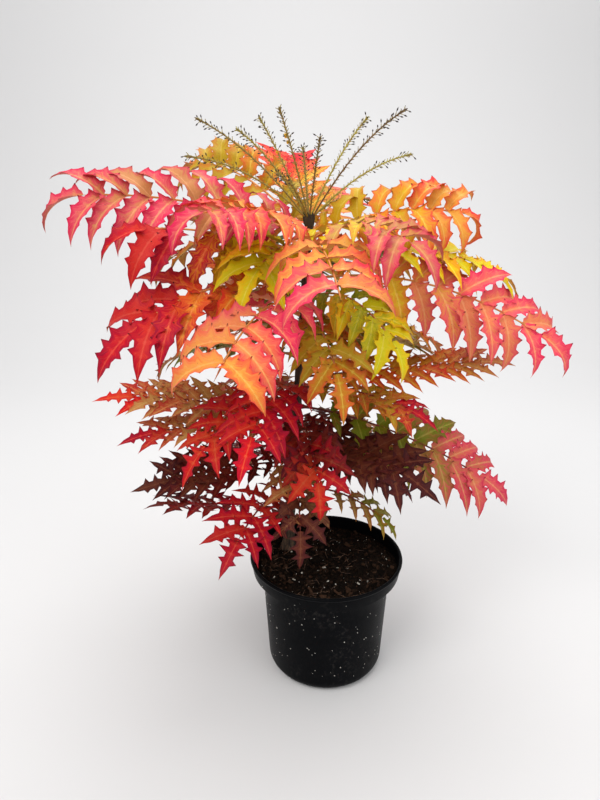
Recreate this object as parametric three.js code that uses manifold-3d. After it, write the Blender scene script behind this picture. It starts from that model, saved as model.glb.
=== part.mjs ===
// A potted mahonia in its autumn colours: one upright stem with whorls of long, feather-shaped
// leaves (fronds) made of spiny leaflets, a sheaf of spent flower spikes out of a cup of bud
// scales at the top, and a black plastic nursery pot filled with compost.
//
// Millimetres, +Z up. The origin is the centre of the pot's flat underside. The front is looked
// at along +Y, with +X to the right. Headings are degrees: 0 is right, 90 is away from the front.

import * as THREE from 'three';
import { mergeVertices } from 'three/addons/utils/BufferGeometryUtils.js';
import Module from 'manifold-3d';

const wasm = await Module();
wasm.setup();

// Driving sizes

const CLEAR = 0.3; // gap kept between pieces that rest on each other
const TOUCH = 0.2; // closer than this, two pieces count as touching

const POT = {
  height: 152,
  rimRadius: 95,
  rimWidth: 2.6,
  collarHeight: 19,
  collarFootRadius: 92,
  bodyTopRadius: 80,
  bodyFootRadius: 73.5,
  bodyFootHeight: 14,
  footRadius: 60,
  wall: 1.8,
  roundSteps: 2, // of the rounded foot
  sides: 34,
};

const SOIL_TOP = 137;

const STEM = {
  // centreline, leaning to the right as it rises
  path: [[-49, 38, 137], [-41, 36, 250], [-33, 34, 400], [-23, 30, 548]],
  footRadius: 6.4,
  topRadius: 4.0,
  flare: 4.0, // added to the radius at the ground
  flareHeight: 14, // height over which the root flare dies away
  sides: 12,
  rings: 10,
  crowding: 1.3, // power that crowds the rings towards the flare
};

const CUP = { height: 10, footRadius: 4.4, waistRadius: 6.6, mouthRadius: 5.8, sides: 12 };

const RIB = {
  rootRadius: 1.7,
  tipRadius: 0.9,
  rings: 6,
  standOff: 0.45, // from the stem, which leans over the root
  sink: 3, // how deep the last leaflet is rooted in the rib's end
  crowding: 0.92, // power that crowds the pairs towards the end
};

const LEAFLET = {
  widthShare: 0.3, // of the leaflet's length
  outline: { fullness: 1.25, rootPower: 0.45 }, // widest at a third, drawn out to the tip
  fold: 0.2, // rise of each edge above the midrib, as a share of the half-width
  keel: 0.6, // depth of the midrib below the blade
  steps: 20, // steps along the midrib
  bendPower: 1.25, // how much more a midrib bends towards its tip
  // the steps where the solid has a section, and the arch from which it needs two of them
  stations: { flat: [8], arched: [6, 14] },
  archedFrom: 75,
  closing: 26, // how much closer to the rib the leaflets near its end stand
  sizes: { least: 0.62, start: 0.18, run: 0.62 }, // longest about halfway along the rib
  endSize: 1.08, // of the leaflet that ends the rib
  // how far the leaflets differ: degrees, degrees, share and share
  vary: { spread: 10, lift: 14, length: 0.16, arch: 0.4 },
};

const SPIKE = {
  rootRadius: 1.2,
  waistRadius: 0.9,
  clubRadius: 1.6, // the buds crowded at the tip
  clubStart: 0.86,
  rings: 6,
  sink: 2, // how deep it is rooted in the cup
  spurs: 7,
  spurStart: 0.3,
  spurEnd: 0.96,
  spurLength: 6.5,
  spurRadius: 0.8,
  spurLean: 0.7, // forward for each millimetre outward
  spurTurn: 137.5, // round the stalk from each spur to the next
  turn: 40, // from each spike to the next
};

// How a leaflet that would touch another limb is turned and shortened, try by try. One that
// fits no way is left out.
const TRIES = [
  { lift: 0, spread: 0, length: 1 },
  { lift: 16, spread: 0, length: 0.98 },
  { lift: -16, spread: 0, length: 0.96 },
  { lift: 0, spread: -16, length: 0.94 },
  { lift: 26, spread: -12, length: 0.86 },
  { lift: -26, spread: 10, length: 0.82 },
  { lift: 6, spread: 0, length: 0.66 },
];

const COLOURS = {
  pot: 0x15171b,
  soil: 0x2a1f18,
  bark: 0x3a2a22,
  spike: 0x7c7424,
  pink: 0xe0566a,
  coral: 0xe9705c,
  peach: 0xf09a62,
  amber: 0xd99a34,
  yellow: 0xe2bf30,
  ochre: 0xb98c30,
  olive: 0x8c8a2c,
  green: 0x5f6e28,
  brown: 0x8f5a34,
  orange: 0xdf6a32,
  scarlet: 0xd02a22,
  crimson: 0xb3152c,
  wine: 0x6a1c20,
  maroon: 0x431814,
};

// The fronds, whorl by whorl. In each row:
// whorl; height of its root on the stem; heading; reach of the rib's end from the stem's
// centreline; rise of that end above its root; crown, the rib's bulge above its chord; roll of
// the blade about the rib, + with the right-hand side down; pairs of leaflets; length of the
// longest leaflet; spread, a leaflet's angle off the rib; arch, how far a leaflet bends down over
// its length; how far the right-hand and left-hand leaflets stand up off the blade; the bare
// share of the rib; 1 where a leaflet ends the rib; the colour near the stem and near the end.
// Left and right are seen travelling outward, lengths are millimetres and angles are degrees.
const FRONDS = [
  ['top', 538, -167, 236, 42, 13, -28, 8, 74, 68, 85, 55, 0, 0.16, 1, 'pink', 'pink'],
  ['top', 542, -127, 165, 22, 10, -12, 8, 66, 82, 90, 12, 15, 0.14, 1, 'peach', 'pink'],
  ['top', 526, -82, 190, -32, 20, 5, 6, 72, 86, 95, 14, 14, 0.22, 0, 'peach', 'coral'],
  ['top', 533, -52, 155, 4, 16, 14, 7, 66, 80, 90, 12, 12, 0.16, 1, 'yellow', 'pink'],
  ['top', 538, 0, 170, 24, 13, 28, 7, 68, 82, 135, 12, 62, 0.16, 1, 'ochre', 'coral'],
  ['top', 535, 70, 160, 44, 12, 15, 6, 62, 62, 30, 20, 20, 0.18, 1, 'amber', 'coral'],
  ['top', 545, 101, 160, 82, 5, 5, 6, 66, 60, 15, 20, 20, 0.2, 1, 'amber', 'scarlet'],
  ['top', 540, 142, 175, 78, 20, -20, 6, 70, 80, 95, 55, 0, 0.2, 1, 'ochre', 'ochre'],
  ['upper', 508, -155, 178, 40, 12, -30, 7, 78, 66, 75, 10, -5, 0.22, 1, 'yellow', 'crimson'],
  ['upper', 520, -124, 92, -12, 14, -10, 5, 68, 66, 60, 12, 12, 0.25, 1, 'yellow', 'yellow'],
  ['upper', 505, 3, 215, -5, 20, 15, 8, 70, 66, 55, 12, 12, 0.2, 1, 'yellow', 'yellow'],
  ['upper', 515, 155, 185, -8, 22, -10, 6, 68, 66, 60, 12, 12, 0.2, 1, 'green', 'ochre'],
  ['upper', 500, 55, 205, -8, 22, 10, 7, 68, 66, 60, 12, 12, 0.2, 1, 'green', 'amber'],
  ['upper', 490, -10, 264, -56, 26, 42, 8, 78, 66, 75, 5, 25, 0.24, 1, 'amber', 'coral'],
  ['upper', 459, -113, 205, -36, 30, -8, 7, 76, 84, 92, 14, 10, 0.2, 0, 'coral', 'peach'],
  ['upper', 470, -148, 196, -14, 26, -35, 6, 84, 62, 65, 5, 25, 0.22, 1, 'orange', 'crimson'],
  ['upper', 486, 85, 200, -12, 24, 0, 6, 68, 66, 60, 12, 12, 0.2, 1, 'green', 'amber'],
  ['upper', 474, 128, 195, -16, 22, -8, 6, 66, 66, 60, 12, 12, 0.2, 1, 'green', 'coral'],
  ['upper', 468, -38, 120, -36, 24, 15, 6, 64, 70, 70, 12, 12, 0.24, 1, 'olive', 'yellow'],
  ['middle', 450, 178, 203, -24, 20, -12, 8, 52, 62, 28, 12, 12, 0.3, 1, 'olive', 'wine'],
  ['middle', 452, 105, 215, -20, 22, 0, 7, 64, 66, 60, 12, 12, 0.2, 1, 'ochre', 'amber'],
  ['middle', 440, -72, 115, -34, 22, 5, 6, 60, 72, 70, 12, 12, 0.24, 1, 'ochre', 'ochre'],
  ['middle', 428, 30, 195, -28, 18, 10, 7, 60, 66, 60, 12, 12, 0.2, 1, 'olive', 'orange'],
  ['middle', 420, 8, 140, -12, 6, 6, 7, 48, 62, 25, 12, 12, 0.3, 1, 'olive', 'brown'],
  ['middle', 320, -171, 192, 38, 6, -22, 9, 54, 64, 20, 12, 12, 0.24, 1, 'brown', 'scarlet'],
  ['middle', 398, 150, 200, -28, 16, -5, 7, 58, 66, 50, 12, 12, 0.2, 1, 'olive', 'brown'],
  ['middle', 374, -4, 208, 22, 0, 20, 9, 54, 64, 25, 12, 12, 0.24, 1, 'orange', 'brown'],
  ['middle', 305, -162, 170, 17, 8, -14, 7, 52, 64, 28, 12, 12, 0.26, 1, 'brown', 'crimson'],
  ['middle', 416, 120, 195, -26, 18, 0, 6, 60, 66, 55, 12, 12, 0.2, 1, 'ochre', 'orange'],
  ['middle', 410, 62, 185, -26, 18, 5, 6, 58, 66, 55, 12, 12, 0.2, 1, 'olive', 'orange'],
  ['middle', 378, 75, 200, -28, 16, 5, 7, 56, 66, 50, 12, 12, 0.2, 1, 'brown', 'orange'],
  ['middle', 361, -32, 140, -2, 8, 14, 7, 50, 64, 40, 12, 12, 0.24, 1, 'ochre', 'crimson'],
  ['middle', 362, -108, 150, -12, 22, -12, 6, 58, 68, 60, 12, 12, 0.22, 1, 'crimson', 'scarlet'],
  ['low', 336, -6, 228, -84, 14, 42, 7, 78, 66, 58, 12, 12, 0.3, 1, 'olive', 'coral'],
  ['low', 345, -138, 138, -26, 22, -10, 6, 60, 68, 40, 12, 12, 0.2, 1, 'scarlet', 'scarlet'],
  ['low', 328, 165, 175, -34, 14, 0, 6, 54, 66, 45, 12, 12, 0.22, 1, 'scarlet', 'crimson'],
  ['low', 352, 125, 180, -34, 16, -4, 6, 58, 66, 50, 12, 12, 0.2, 1, 'orange', 'scarlet'],
  ['low', 334, 92, 180, -36, 16, 0, 6, 56, 66, 50, 12, 12, 0.2, 1, 'scarlet', 'crimson'],
  ['low', 286, -30, 142, -6, 14, 30, 7, 62, 68, 30, 12, 12, 0.2, 1, 'maroon', 'maroon'],
  ['low', 318, -76, 100, -40, 22, 5, 6, 58, 72, 70, 12, 12, 0.24, 1, 'wine', 'scarlet'],
  ['low', 300, 55, 175, -38, 14, 5, 6, 54, 66, 45, 12, 12, 0.22, 1, 'wine', 'brown'],
  ['low', 262, -167, 156, -10, 5, -28, 7, 54, 62, 5, 12, 12, 0.28, 1, 'wine', 'maroon'],
  ['low', 272, -12, 125, -20, 18, 15, 6, 54, 66, 40, 12, 12, 0.24, 1, 'maroon', 'wine'],
  ['low', 284, 85, 155, -36, 14, 0, 6, 54, 66, 50, 12, 12, 0.24, 1, 'crimson', 'wine'],
  ['low', 270, 145, 145, -34, 14, 0, 6, 52, 66, 50, 12, 12, 0.26, 1, 'crimson', 'maroon'],
  ['low', 268, -86, 108, -46, 20, -5, 5, 54, 68, 65, 12, 12, 0.26, 1, 'brown', 'maroon'],
  ['low', 196, -152, 150, 44, 2, 0, 5, 50, 60, 20, 12, 12, 0.42, 1, 'crimson', 'wine'],
  ['low', 246, 115, 140, -32, 14, 0, 6, 50, 66, 45, 12, 12, 0.26, 1, 'crimson', 'wine'],
  ['low', 226, -112, 150, 6, 15, -20, 4, 56, 60, 30, 12, 12, 0.45, 1, 'crimson', 'crimson'],
  ['low', 225, -18, 120, -26, 15, 10, 4, 38, 60, 50, 12, 12, 0.45, 1, 'brown', 'olive'],
];

// The spent flower spikes: heading; reach; rise; crown, the bulge above the chord; how far out
// on the cup the spike starts, as a share of its mouth.
const SPIKES = [
  [-166, 120, 96, 12, 0.75],
  [-150, 141, 57, 14, 0.75],
  [-172, 78, 88, 10, 0.25],
  [172, 55, 102, 6, 0.75],
  [-125, 54, 104, 6, 0.25],
  [-75, 40, 78, 4, 0.3],
  [-4, 62, 100, 10, 0.25],
  [-26, 106, 102, 14, 0.75],
  [2, 112, 64, 12, 0.75],
  [30, 95, 10, 16, 0.75],
  [102, 34, 74, 5, 0.3],
  [-110, 95, 40, 10, 0.75],
];

// Small helpers

const UP = new THREE.Vector3(0, 0, 1);
const radians = THREE.MathUtils.degToRad;

function heading(degrees) {
  const angle = radians(degrees);
  return new THREE.Vector3(Math.cos(angle), Math.sin(angle), 0);
}

// A steady pseudo-random share from 0 to 1 for each number.
function share(number) {
  const value = Math.sin(number * 12.9898) * 43758.5453;
  return value - Math.floor(value);
}

function mix(a, b, amount) {
  return a + (b - a) * amount;
}

function sum(origin, ...parts) {
  const total = origin.clone();
  for (const [vector, amount] of parts) total.addScaledVector(vector, amount);
  return total;
}

// Solids

// A closed body through rings of points, which may start and end in a point or in a flat cap.
function loft(rings, start, end) {
  const positions = [];
  const triangles = [];
  const add = (point) => positions.push(point.x, point.y, point.z) / 3 - 1;
  const rows = rings.map((ring) => ring.map(add));
  const sides = rings[0].length;
  for (let r = 0; r + 1 < rows.length; r += 1) {
    for (let s = 0; s < sides; s += 1) {
      const t = (s + 1) % sides;
      triangles.push(rows[r][s], rows[r][t], rows[r + 1][t]);
      triangles.push(rows[r][s], rows[r + 1][t], rows[r + 1][s]);
    }
  }
  closeEnd(triangles, rows[0], start && add(start), true);
  closeEnd(triangles, rows[rows.length - 1], end && add(end), false);
  const geometry = new THREE.BufferGeometry();
  geometry.setAttribute('position', new THREE.Float32BufferAttribute(positions, 3));
  geometry.setIndex(triangles);
  return geometry;
}

function closeEnd(triangles, row, point, first) {
  const turn = (a, b, c) => triangles.push(...(first ? [a, c, b] : [a, b, c]));
  if (point !== undefined) {
    row.forEach((corner, s) => turn(point, corner, row[(s + 1) % row.length]));
  } else {
    for (let s = 1; s + 1 < row.length; s += 1) turn(row[0], row[s], row[s + 1]);
  }
}

function toSolid(geometry) {
  const plain = geometry.clone();
  plain.deleteAttribute('normal');
  plain.deleteAttribute('uv');
  const merged = mergeVertices(plain);
  return new wasm.Manifold(new wasm.Mesh({
    numProp: 3,
    vertProperties: merged.attributes.position.array,
    triVerts: new Uint32Array(merged.index.array),
  }));
}

function toGeometry(solid) {
  const mesh = solid.getMesh();
  const geometry = new THREE.BufferGeometry();
  geometry.setAttribute('position', new THREE.BufferAttribute(mesh.vertProperties, 3));
  geometry.setIndex(new THREE.BufferAttribute(mesh.triVerts, 1));
  geometry.computeVertexNormals();
  return geometry;
}

// The pieces that are already in place, so that the next one can keep clear of them.
const placed = [];

function place(name, solid) {
  placed.push({ name, solid, box: solid.boundingBox() });
}

function near(a, b) {
  return [0, 1, 2].every((axis) => a.min[axis] < b.max[axis] + CLEAR && b.min[axis] < a.max[axis] + CLEAR);
}

function touches(solid, name) {
  const box = solid.boundingBox();
  return placed.find((other) => other.name !== name && near(box, other.box)
    && other.solid.minGap(solid, CLEAR) < TOUCH);
}

// The pot and its compost

function lathe(profile, sides) {
  const points = profile.map(([radius, z]) => new THREE.Vector2(radius, z));
  const geometry = new THREE.LatheGeometry(points, sides);
  geometry.rotateX(Math.PI / 2);
  return geometry;
}

function potGeometry() {
  const collarFoot = POT.height - POT.collarHeight;
  const outside = [[0, 0]];
  for (let step = 0; step <= POT.roundSteps; step += 1) {
    const angle = (step / POT.roundSteps) * (Math.PI / 2);
    const width = POT.bodyFootRadius - POT.footRadius;
    outside.push([
      POT.footRadius + width * Math.sin(angle),
      POT.bodyFootHeight * (1 - Math.cos(angle)),
    ]);
  }
  outside.push([POT.bodyTopRadius, collarFoot - 1]);
  outside.push([POT.collarFootRadius, collarFoot]);
  outside.push([POT.rimRadius, POT.height]);
  const inside = [
    [POT.rimRadius - POT.rimWidth, POT.height],
    [POT.collarFootRadius - POT.wall, collarFoot + POT.wall],
    [POT.bodyTopRadius - POT.wall, collarFoot - 1 + POT.wall],
    [POT.bodyFootRadius - POT.wall, POT.bodyFootHeight],
    [POT.footRadius, POT.wall],
    [0, POT.wall],
  ];
  return lathe([...outside, ...inside], POT.sides);
}

function soilGeometry() {
  const collarFoot = POT.height - POT.collarHeight;
  const gap = POT.wall + 2 * CLEAR;
  const rimSlope = (POT.rimRadius - POT.collarFootRadius) / POT.collarHeight;
  const topRadius = POT.collarFootRadius - gap + rimSlope * (SOIL_TOP - collarFoot);
  return lathe([
    [0, POT.wall + CLEAR],
    [POT.footRadius - CLEAR, POT.wall + CLEAR],
    [POT.bodyFootRadius - gap, POT.bodyFootHeight],
    [POT.bodyTopRadius - gap, collarFoot + POT.wall],
    [POT.collarFootRadius - gap, collarFoot + POT.wall + CLEAR],
    [topRadius, SOIL_TOP],
    [0, SOIL_TOP],
  ], POT.sides);
}

// The stem and the cup of bud scales on it

function stemAt(z) {
  const path = STEM.path;
  const next = Math.min(Math.max(path.findIndex((point) => point[2] >= z), 1), path.length - 1);
  const [a, b] = [path[next - 1], path[next]];
  const amount = (z - a[2]) / (b[2] - a[2]);
  return new THREE.Vector3(mix(a[0], b[0], amount), mix(a[1], b[1], amount), z);
}

const stemFoot = STEM.path[0][2] + CLEAR;
const stemTop = STEM.path[STEM.path.length - 1][2];

function stemRadius(z) {
  const height = z - SOIL_TOP;
  const taper = mix(STEM.footRadius, STEM.topRadius, height / (stemTop - SOIL_TOP));
  return taper + STEM.flare * Math.exp(-height / STEM.flareHeight);
}

function circle(centre, radius, sides) {
  return Array.from({ length: sides }, (_, s) => sum(centre, [heading((360 * s) / sides), radius]));
}

function stemGeometry() {
  const rings = [];
  for (let ring = 0; ring <= STEM.rings; ring += 1) {
    const z = mix(stemFoot, stemTop, (ring / STEM.rings) ** STEM.crowding);
    rings.push(circle(stemAt(z), stemRadius(z), STEM.sides));
  }
  return loft(rings);
}

const cupFoot = sum(stemAt(stemTop), [UP, CLEAR]);
const cupMouth = sum(cupFoot, [UP, CUP.height]);

function cupGeometry() {
  const ring = (radius, height) => circle(sum(cupFoot, [UP, height]), radius, CUP.sides);
  return loft([
    ring(CUP.footRadius, 0),
    ring(CUP.waistRadius, CUP.height / 2),
    ring(CUP.mouthRadius, CUP.height),
  ]);
}

// An arch, and three-sided limbs that follow it

// The curve from root to end whose middle stands `crown` above its chord.
function archOf(root, end, crown) {
  const handle = sum(root, [root, -0.5], [end, 0.5], [UP, 2 * crown]);
  return {
    at: (t) => sum(root, [root, (1 - t) ** 2 - 1], [handle, 2 * t * (1 - t)], [end, t * t]),
    along: (t) => new THREE.Vector3()
      .addScaledVector(sum(handle, [root, -1]), 2 * (1 - t))
      .addScaledVector(sum(end, [handle, -1]), 2 * t)
      .normalize(),
  };
}

function section(centre, along, radius) {
  const side = new THREE.Vector3().crossVectors(along, UP).normalize();
  const top = new THREE.Vector3().crossVectors(side, along);
  return [90, 330, 210].map((angle) => sum(
    centre,
    [side, radius * Math.cos(radians(angle))],
    [top, radius * Math.sin(radians(angle))],
  ));
}

function limbGeometry(arch, radiusAt, ringCount, firstAlong, pointed) {
  const rings = [];
  const last = pointed ? ringCount - 1 : ringCount;
  for (let ring = 0; ring <= last; ring += 1) {
    const t = ring / ringCount;
    const along = ring === 0 ? firstAlong : arch.along(t);
    rings.push(section(arch.at(t), along, radiusAt(t)));
  }
  return loft(rings, undefined, pointed ? arch.at(1) : undefined);
}

// Fronds

function readFrond(row, index) {
  const [whorl, height, way, reach, rise, crown, roll, pairs, leaflet, spread, arch, right, left,
    bare, ended, inner, outer] = row;
  const outward = heading(way);
  const axis = stemAt(height);
  const root = sum(axis, [outward, stemRadius(height) + RIB.standOff]);
  const end = sum(axis, [outward, reach], [UP, rise]);
  return {
    name: `frond_${whorl}_${index}`,
    seed: index,
    stations: arch < LEAFLET.archedFrom ? LEAFLET.stations.flat : LEAFLET.stations.arched,
    outward,
    curve: archOf(root, end, crown),
    roll, pairs, leaflet, spread, arch, right, left, bare, ended, inner, outer,
  };
}

function ribSolid(frond) {
  const radiusAt = (t) => mix(RIB.rootRadius, RIB.tipRadius, Math.sqrt(t));
  return toSolid(limbGeometry(frond.curve, radiusAt, RIB.rings, frond.outward, false));
}

// A point on the straight stretches that the rib's solid is made of.
function onRib(frond, t) {
  const ring = Math.min(Math.floor(t * RIB.rings), RIB.rings - 1);
  const next = frond.curve.at((ring + 1) / RIB.rings);
  return frond.curve.at(ring / RIB.rings).lerp(next, t * RIB.rings - ring);
}

// A number around 1 that differs from it by at most half of `range`.
function around(range, number) {
  return 1 + range * (share(number) - 0.5);
}

// The leaflet at one node of a frond. side is 1 on the right, -1 on the left and 0 at the end.
function leafletAt(frond, node, side, attempt) {
  const { vary, sizes } = LEAFLET;
  const out = node / frond.pairs;
  const t = frond.bare + (1 - frond.bare) * out ** RIB.crowding;
  const along = frond.curve.along(t);
  const flatSide = new THREE.Vector3().crossVectors(along, UP).normalize();
  const flatUp = new THREE.Vector3().crossVectors(flatSide, along);
  const roll = radians(frond.roll);
  const across = sum(new THREE.Vector3(), [flatSide, Math.cos(roll)], [flatUp, -Math.sin(roll)]);
  const above = sum(new THREE.Vector3(), [flatUp, Math.cos(roll)], [flatSide, Math.sin(roll)]);
  const draw = frond.seed * 37 + node * 2 + (side > 0 ? 1 : 0);
  const spread = radians(frond.spread - LEAFLET.closing * out
    + vary.spread * (share(draw) - 0.5) + attempt.spread);
  const stand = side > 0 ? frond.right : frond.left;
  const lift = radians(stand + vary.lift * (share(draw + 0.3) - 0.5) + attempt.lift);
  const way = side === 0
    ? sum(along, [above, Math.tan(radians(attempt.lift))]).normalize()
    : sum(new THREE.Vector3(), [along, Math.cos(spread)],
      [across, side * Math.sin(spread) * Math.cos(lift)],
      [above, Math.sin(spread) * Math.sin(lift)]).normalize();
  const place = Math.sin(Math.PI * Math.min(1, sizes.start + sizes.run * out));
  const size = mix(sizes.least, 1, place) * (side === 0 ? LEAFLET.endSize : 1);
  return {
    root: sum(onRib(frond, t), [along, side === 0 ? -RIB.sink : 0]),
    way,
    face: sum(above, [way, -above.dot(way)]).normalize(),
    length: frond.leaflet * size * attempt.length * around(vary.length, draw + 0.7),
    arch: radians(frond.arch) * around(vary.arch, draw + 0.5),
  };
}

// Points along a leaflet's midrib, which bends down further the further out it is.
function midribOf(leaflet) {
  const step = leaflet.length / LEAFLET.steps;
  let point = leaflet.root;
  const points = [{ point, face: leaflet.face }];
  for (let s = 1; s <= LEAFLET.steps; s += 1) {
    const bend = leaflet.arch * (s / LEAFLET.steps) ** LEAFLET.bendPower;
    point = sum(point, [leaflet.way, step * Math.cos(bend)], [leaflet.face, -step * Math.sin(bend)]);
    const face = sum(new THREE.Vector3(), [leaflet.face, Math.cos(bend)], [leaflet.way, Math.sin(bend)]);
    points.push({ point, face });
  }
  return points;
}

// Half the blade's width at a share of its length.
function halfWidth(leaflet, x) {
  const { fullness, rootPower } = LEAFLET.outline;
  return leaflet.length * LEAFLET.widthShare * fullness * x ** rootPower * (1 - x);
}

function leafletSolid(leaflet, stations) {
  const midrib = midribOf(leaflet);
  const sideways = new THREE.Vector3().crossVectors(leaflet.face, leaflet.way);
  const rings = stations.map((station) => {
    const { point, face } = midrib[station];
    const half = halfWidth(leaflet, station / LEAFLET.steps);
    return [
      sum(point, [sideways, half], [face, half * LEAFLET.fold]),
      sum(point, [sideways, -half], [face, half * LEAFLET.fold]),
      sum(point, [face, -LEAFLET.keel]),
    ];
  });
  const geometry = loft(rings, leaflet.root, midrib[LEAFLET.steps].point);
  return toSolid(geometry);
}

function sidesAt(frond, node) {
  if (node < frond.pairs) return [1, -1];
  return frond.ended ? [0] : [];
}

// Leaflets grow from the end of the rib inwards, and a frond keeps the ones that touch nothing.
function frondSolid(frond, rib) {
  let solid = rib;
  for (let node = frond.pairs; node >= 0; node -= 1) {
    for (const side of sidesAt(frond, node)) {
      const leaves = TRIES.map((attempt) => () => (
        leafletSolid(leafletAt(frond, node, side, attempt), frond.stations)));
      const fitting = firstClear(leaves, frond.name);
      if (fitting) solid = solid.add(fitting);
    }
  }
  return solid;
}

// The first of some solids, each made only when its turn comes, that touches nothing.
function firstClear(makers, name) {
  for (const make of makers) {
    const solid = make();
    if (!touches(solid, name)) return solid;
  }
  return undefined;
}

// Spent flower spikes

function spikeSolid(row, index) {
  const [way, reach, rise, crown, start] = row;
  const outward = heading(way);
  const out = start * (CUP.mouthRadius - SPIKE.rootRadius);
  const root = sum(cupMouth, [outward, out], [UP, -SPIKE.sink]);
  const end = sum(cupMouth, [outward, reach], [UP, rise]);
  const curve = archOf(root, end, crown);
  const radiusAt = (t) => {
    if (t < SPIKE.clubStart) return mix(SPIKE.rootRadius, SPIKE.waistRadius, t);
    return SPIKE.clubRadius;
  };
  let solid = toSolid(limbGeometry(curve, radiusAt, SPIKE.rings, UP, true));
  for (let spur = 0; spur < SPIKE.spurs; spur += 1) {
    const t = mix(SPIKE.spurStart, SPIKE.spurEnd, spur / (SPIKE.spurs - 1));
    const along = curve.along(t);
    const side = new THREE.Vector3().crossVectors(along, UP).normalize();
    const top = new THREE.Vector3().crossVectors(side, along);
    const turn = radians(SPIKE.spurTurn * spur + SPIKE.turn * index);
    const off = sum(new THREE.Vector3(), [side, Math.cos(turn)], [top, Math.sin(turn)]);
    const lean = sum(off, [along, SPIKE.spurLean]).normalize();
    const foot = section(curve.at(t), lean, SPIKE.spurRadius);
    const tip = sum(curve.at(t), [lean, SPIKE.spurLength]);
    solid = solid.add(toSolid(loft([foot], undefined, tip)));
  }
  return solid;
}

// All the spikes are fused into the cup of bud scales that they grow out of.
function flowerHeadGeometry() {
  let solid = toSolid(cupGeometry());
  SPIKES.forEach((row, index) => {
    solid = solid.add(spikeSolid(row, index));
  });
  return toGeometry(solid);
}

// The whole plant in its pot

const group = new THREE.Group();

function addMesh(name, geometry, colour, roughness) {
  const material = new THREE.MeshStandardMaterial({ color: colour, roughness, metalness: 0 });
  const mesh = new THREE.Mesh(geometry, material);
  mesh.name = name;
  group.add(mesh);
}

const plain = [
  ['pot', potGeometry(), COLOURS.pot, 0.45],
  ['compost', soilGeometry(), COLOURS.soil, 0.95],
  ['stem', stemGeometry(), COLOURS.bark, 0.85],
  ['flower_head', flowerHeadGeometry(), COLOURS.spike, 0.8],
];
for (const [name, geometry, colour, roughness] of plain) {
  addMesh(name, geometry, colour, roughness);
  place(name, toSolid(geometry));
}

const fronds = FRONDS.map((row, index) => readFrond(row, index + 1));
const ribs = fronds.map((frond) => {
  const rib = ribSolid(frond);
  const other = touches(rib, frond.name);
  if (other) throw new Error(`${frond.name} touches ${other.name}`);
  place(frond.name, rib);
  return rib;
});
fronds.forEach((frond, index) => {
  const solid = frondSolid(frond, ribs[index]);
  place(frond.name, solid);
  const colour = new THREE.Color(COLOURS[frond.inner]).lerp(new THREE.Color(COLOURS[frond.outer]), 0.6);
  addMesh(frond.name, toGeometry(solid), colour, 0.45);
});

export default group;
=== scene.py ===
"""The looks of a potted mahonia in its autumn colours.

Blender works in metres. The plant's own sizes are written in millimetres, as in the solids, and
turned into metres where a mesh is made. +Z is up and the front is looked at along +Y.
"""

from math import atan2, ceil, cos, exp, floor, pi, radians, sin, sqrt, tan
from types import SimpleNamespace as Values

import bmesh
import bpy
from mathutils import Matrix, Vector, kdtree, noise


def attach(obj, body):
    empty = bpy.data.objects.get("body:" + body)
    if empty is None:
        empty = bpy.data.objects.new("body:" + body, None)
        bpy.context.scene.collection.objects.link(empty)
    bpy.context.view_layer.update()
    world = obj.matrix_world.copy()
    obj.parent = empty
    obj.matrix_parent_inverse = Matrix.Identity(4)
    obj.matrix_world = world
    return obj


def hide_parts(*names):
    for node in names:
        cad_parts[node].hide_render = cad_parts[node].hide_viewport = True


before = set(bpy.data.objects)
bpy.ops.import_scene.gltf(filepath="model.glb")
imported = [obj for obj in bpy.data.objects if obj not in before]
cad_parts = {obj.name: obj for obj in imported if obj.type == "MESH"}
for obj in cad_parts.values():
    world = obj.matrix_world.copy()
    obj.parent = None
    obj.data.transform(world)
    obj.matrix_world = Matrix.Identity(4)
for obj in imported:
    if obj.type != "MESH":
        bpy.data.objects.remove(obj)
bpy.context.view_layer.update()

MM = 0.001
UP = Vector((0, 0, 1))

# The plant's frame, as in the solids

SOIL_TOP = 137
STEM = Values(
    path=[(-49, 38, 137), (-41, 36, 250), (-33, 34, 400), (-23, 30, 548)], foot=6.4, top=4.0,
    flare=4.0, flare_height=14,
)
CUP = Values(height=10, mouth=5.8)
RIB = Values(root=1.7, tip=0.9, rings=6, stand_off=0.45, sink=3, crowding=0.92)
LEAFLET = Values(
    width=0.3, root_power=0.45, keel=0.6, keel_taper=0.7, steps=20, bend_power=1.25, closing=26,
    least=0.62, start=0.18, run=0.62, end_size=1.08, vary_spread=10, vary_lift=14, vary_length=0.16,
    vary_arch=0.4, draws=37,
)
SPIKE = Values(root=1.2, waist=0.9, sink=2)

# How a leaflet is turned and shortened until it touches nothing: lift, spread and length
TRIES = [(0, 0, 1), (16, 0, 0.98), (-16, 0, 0.96), (0, -16, 0.94), (26, -12, 0.86),
         (-26, 10, 0.82), (6, 0, 0.66)]

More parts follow.
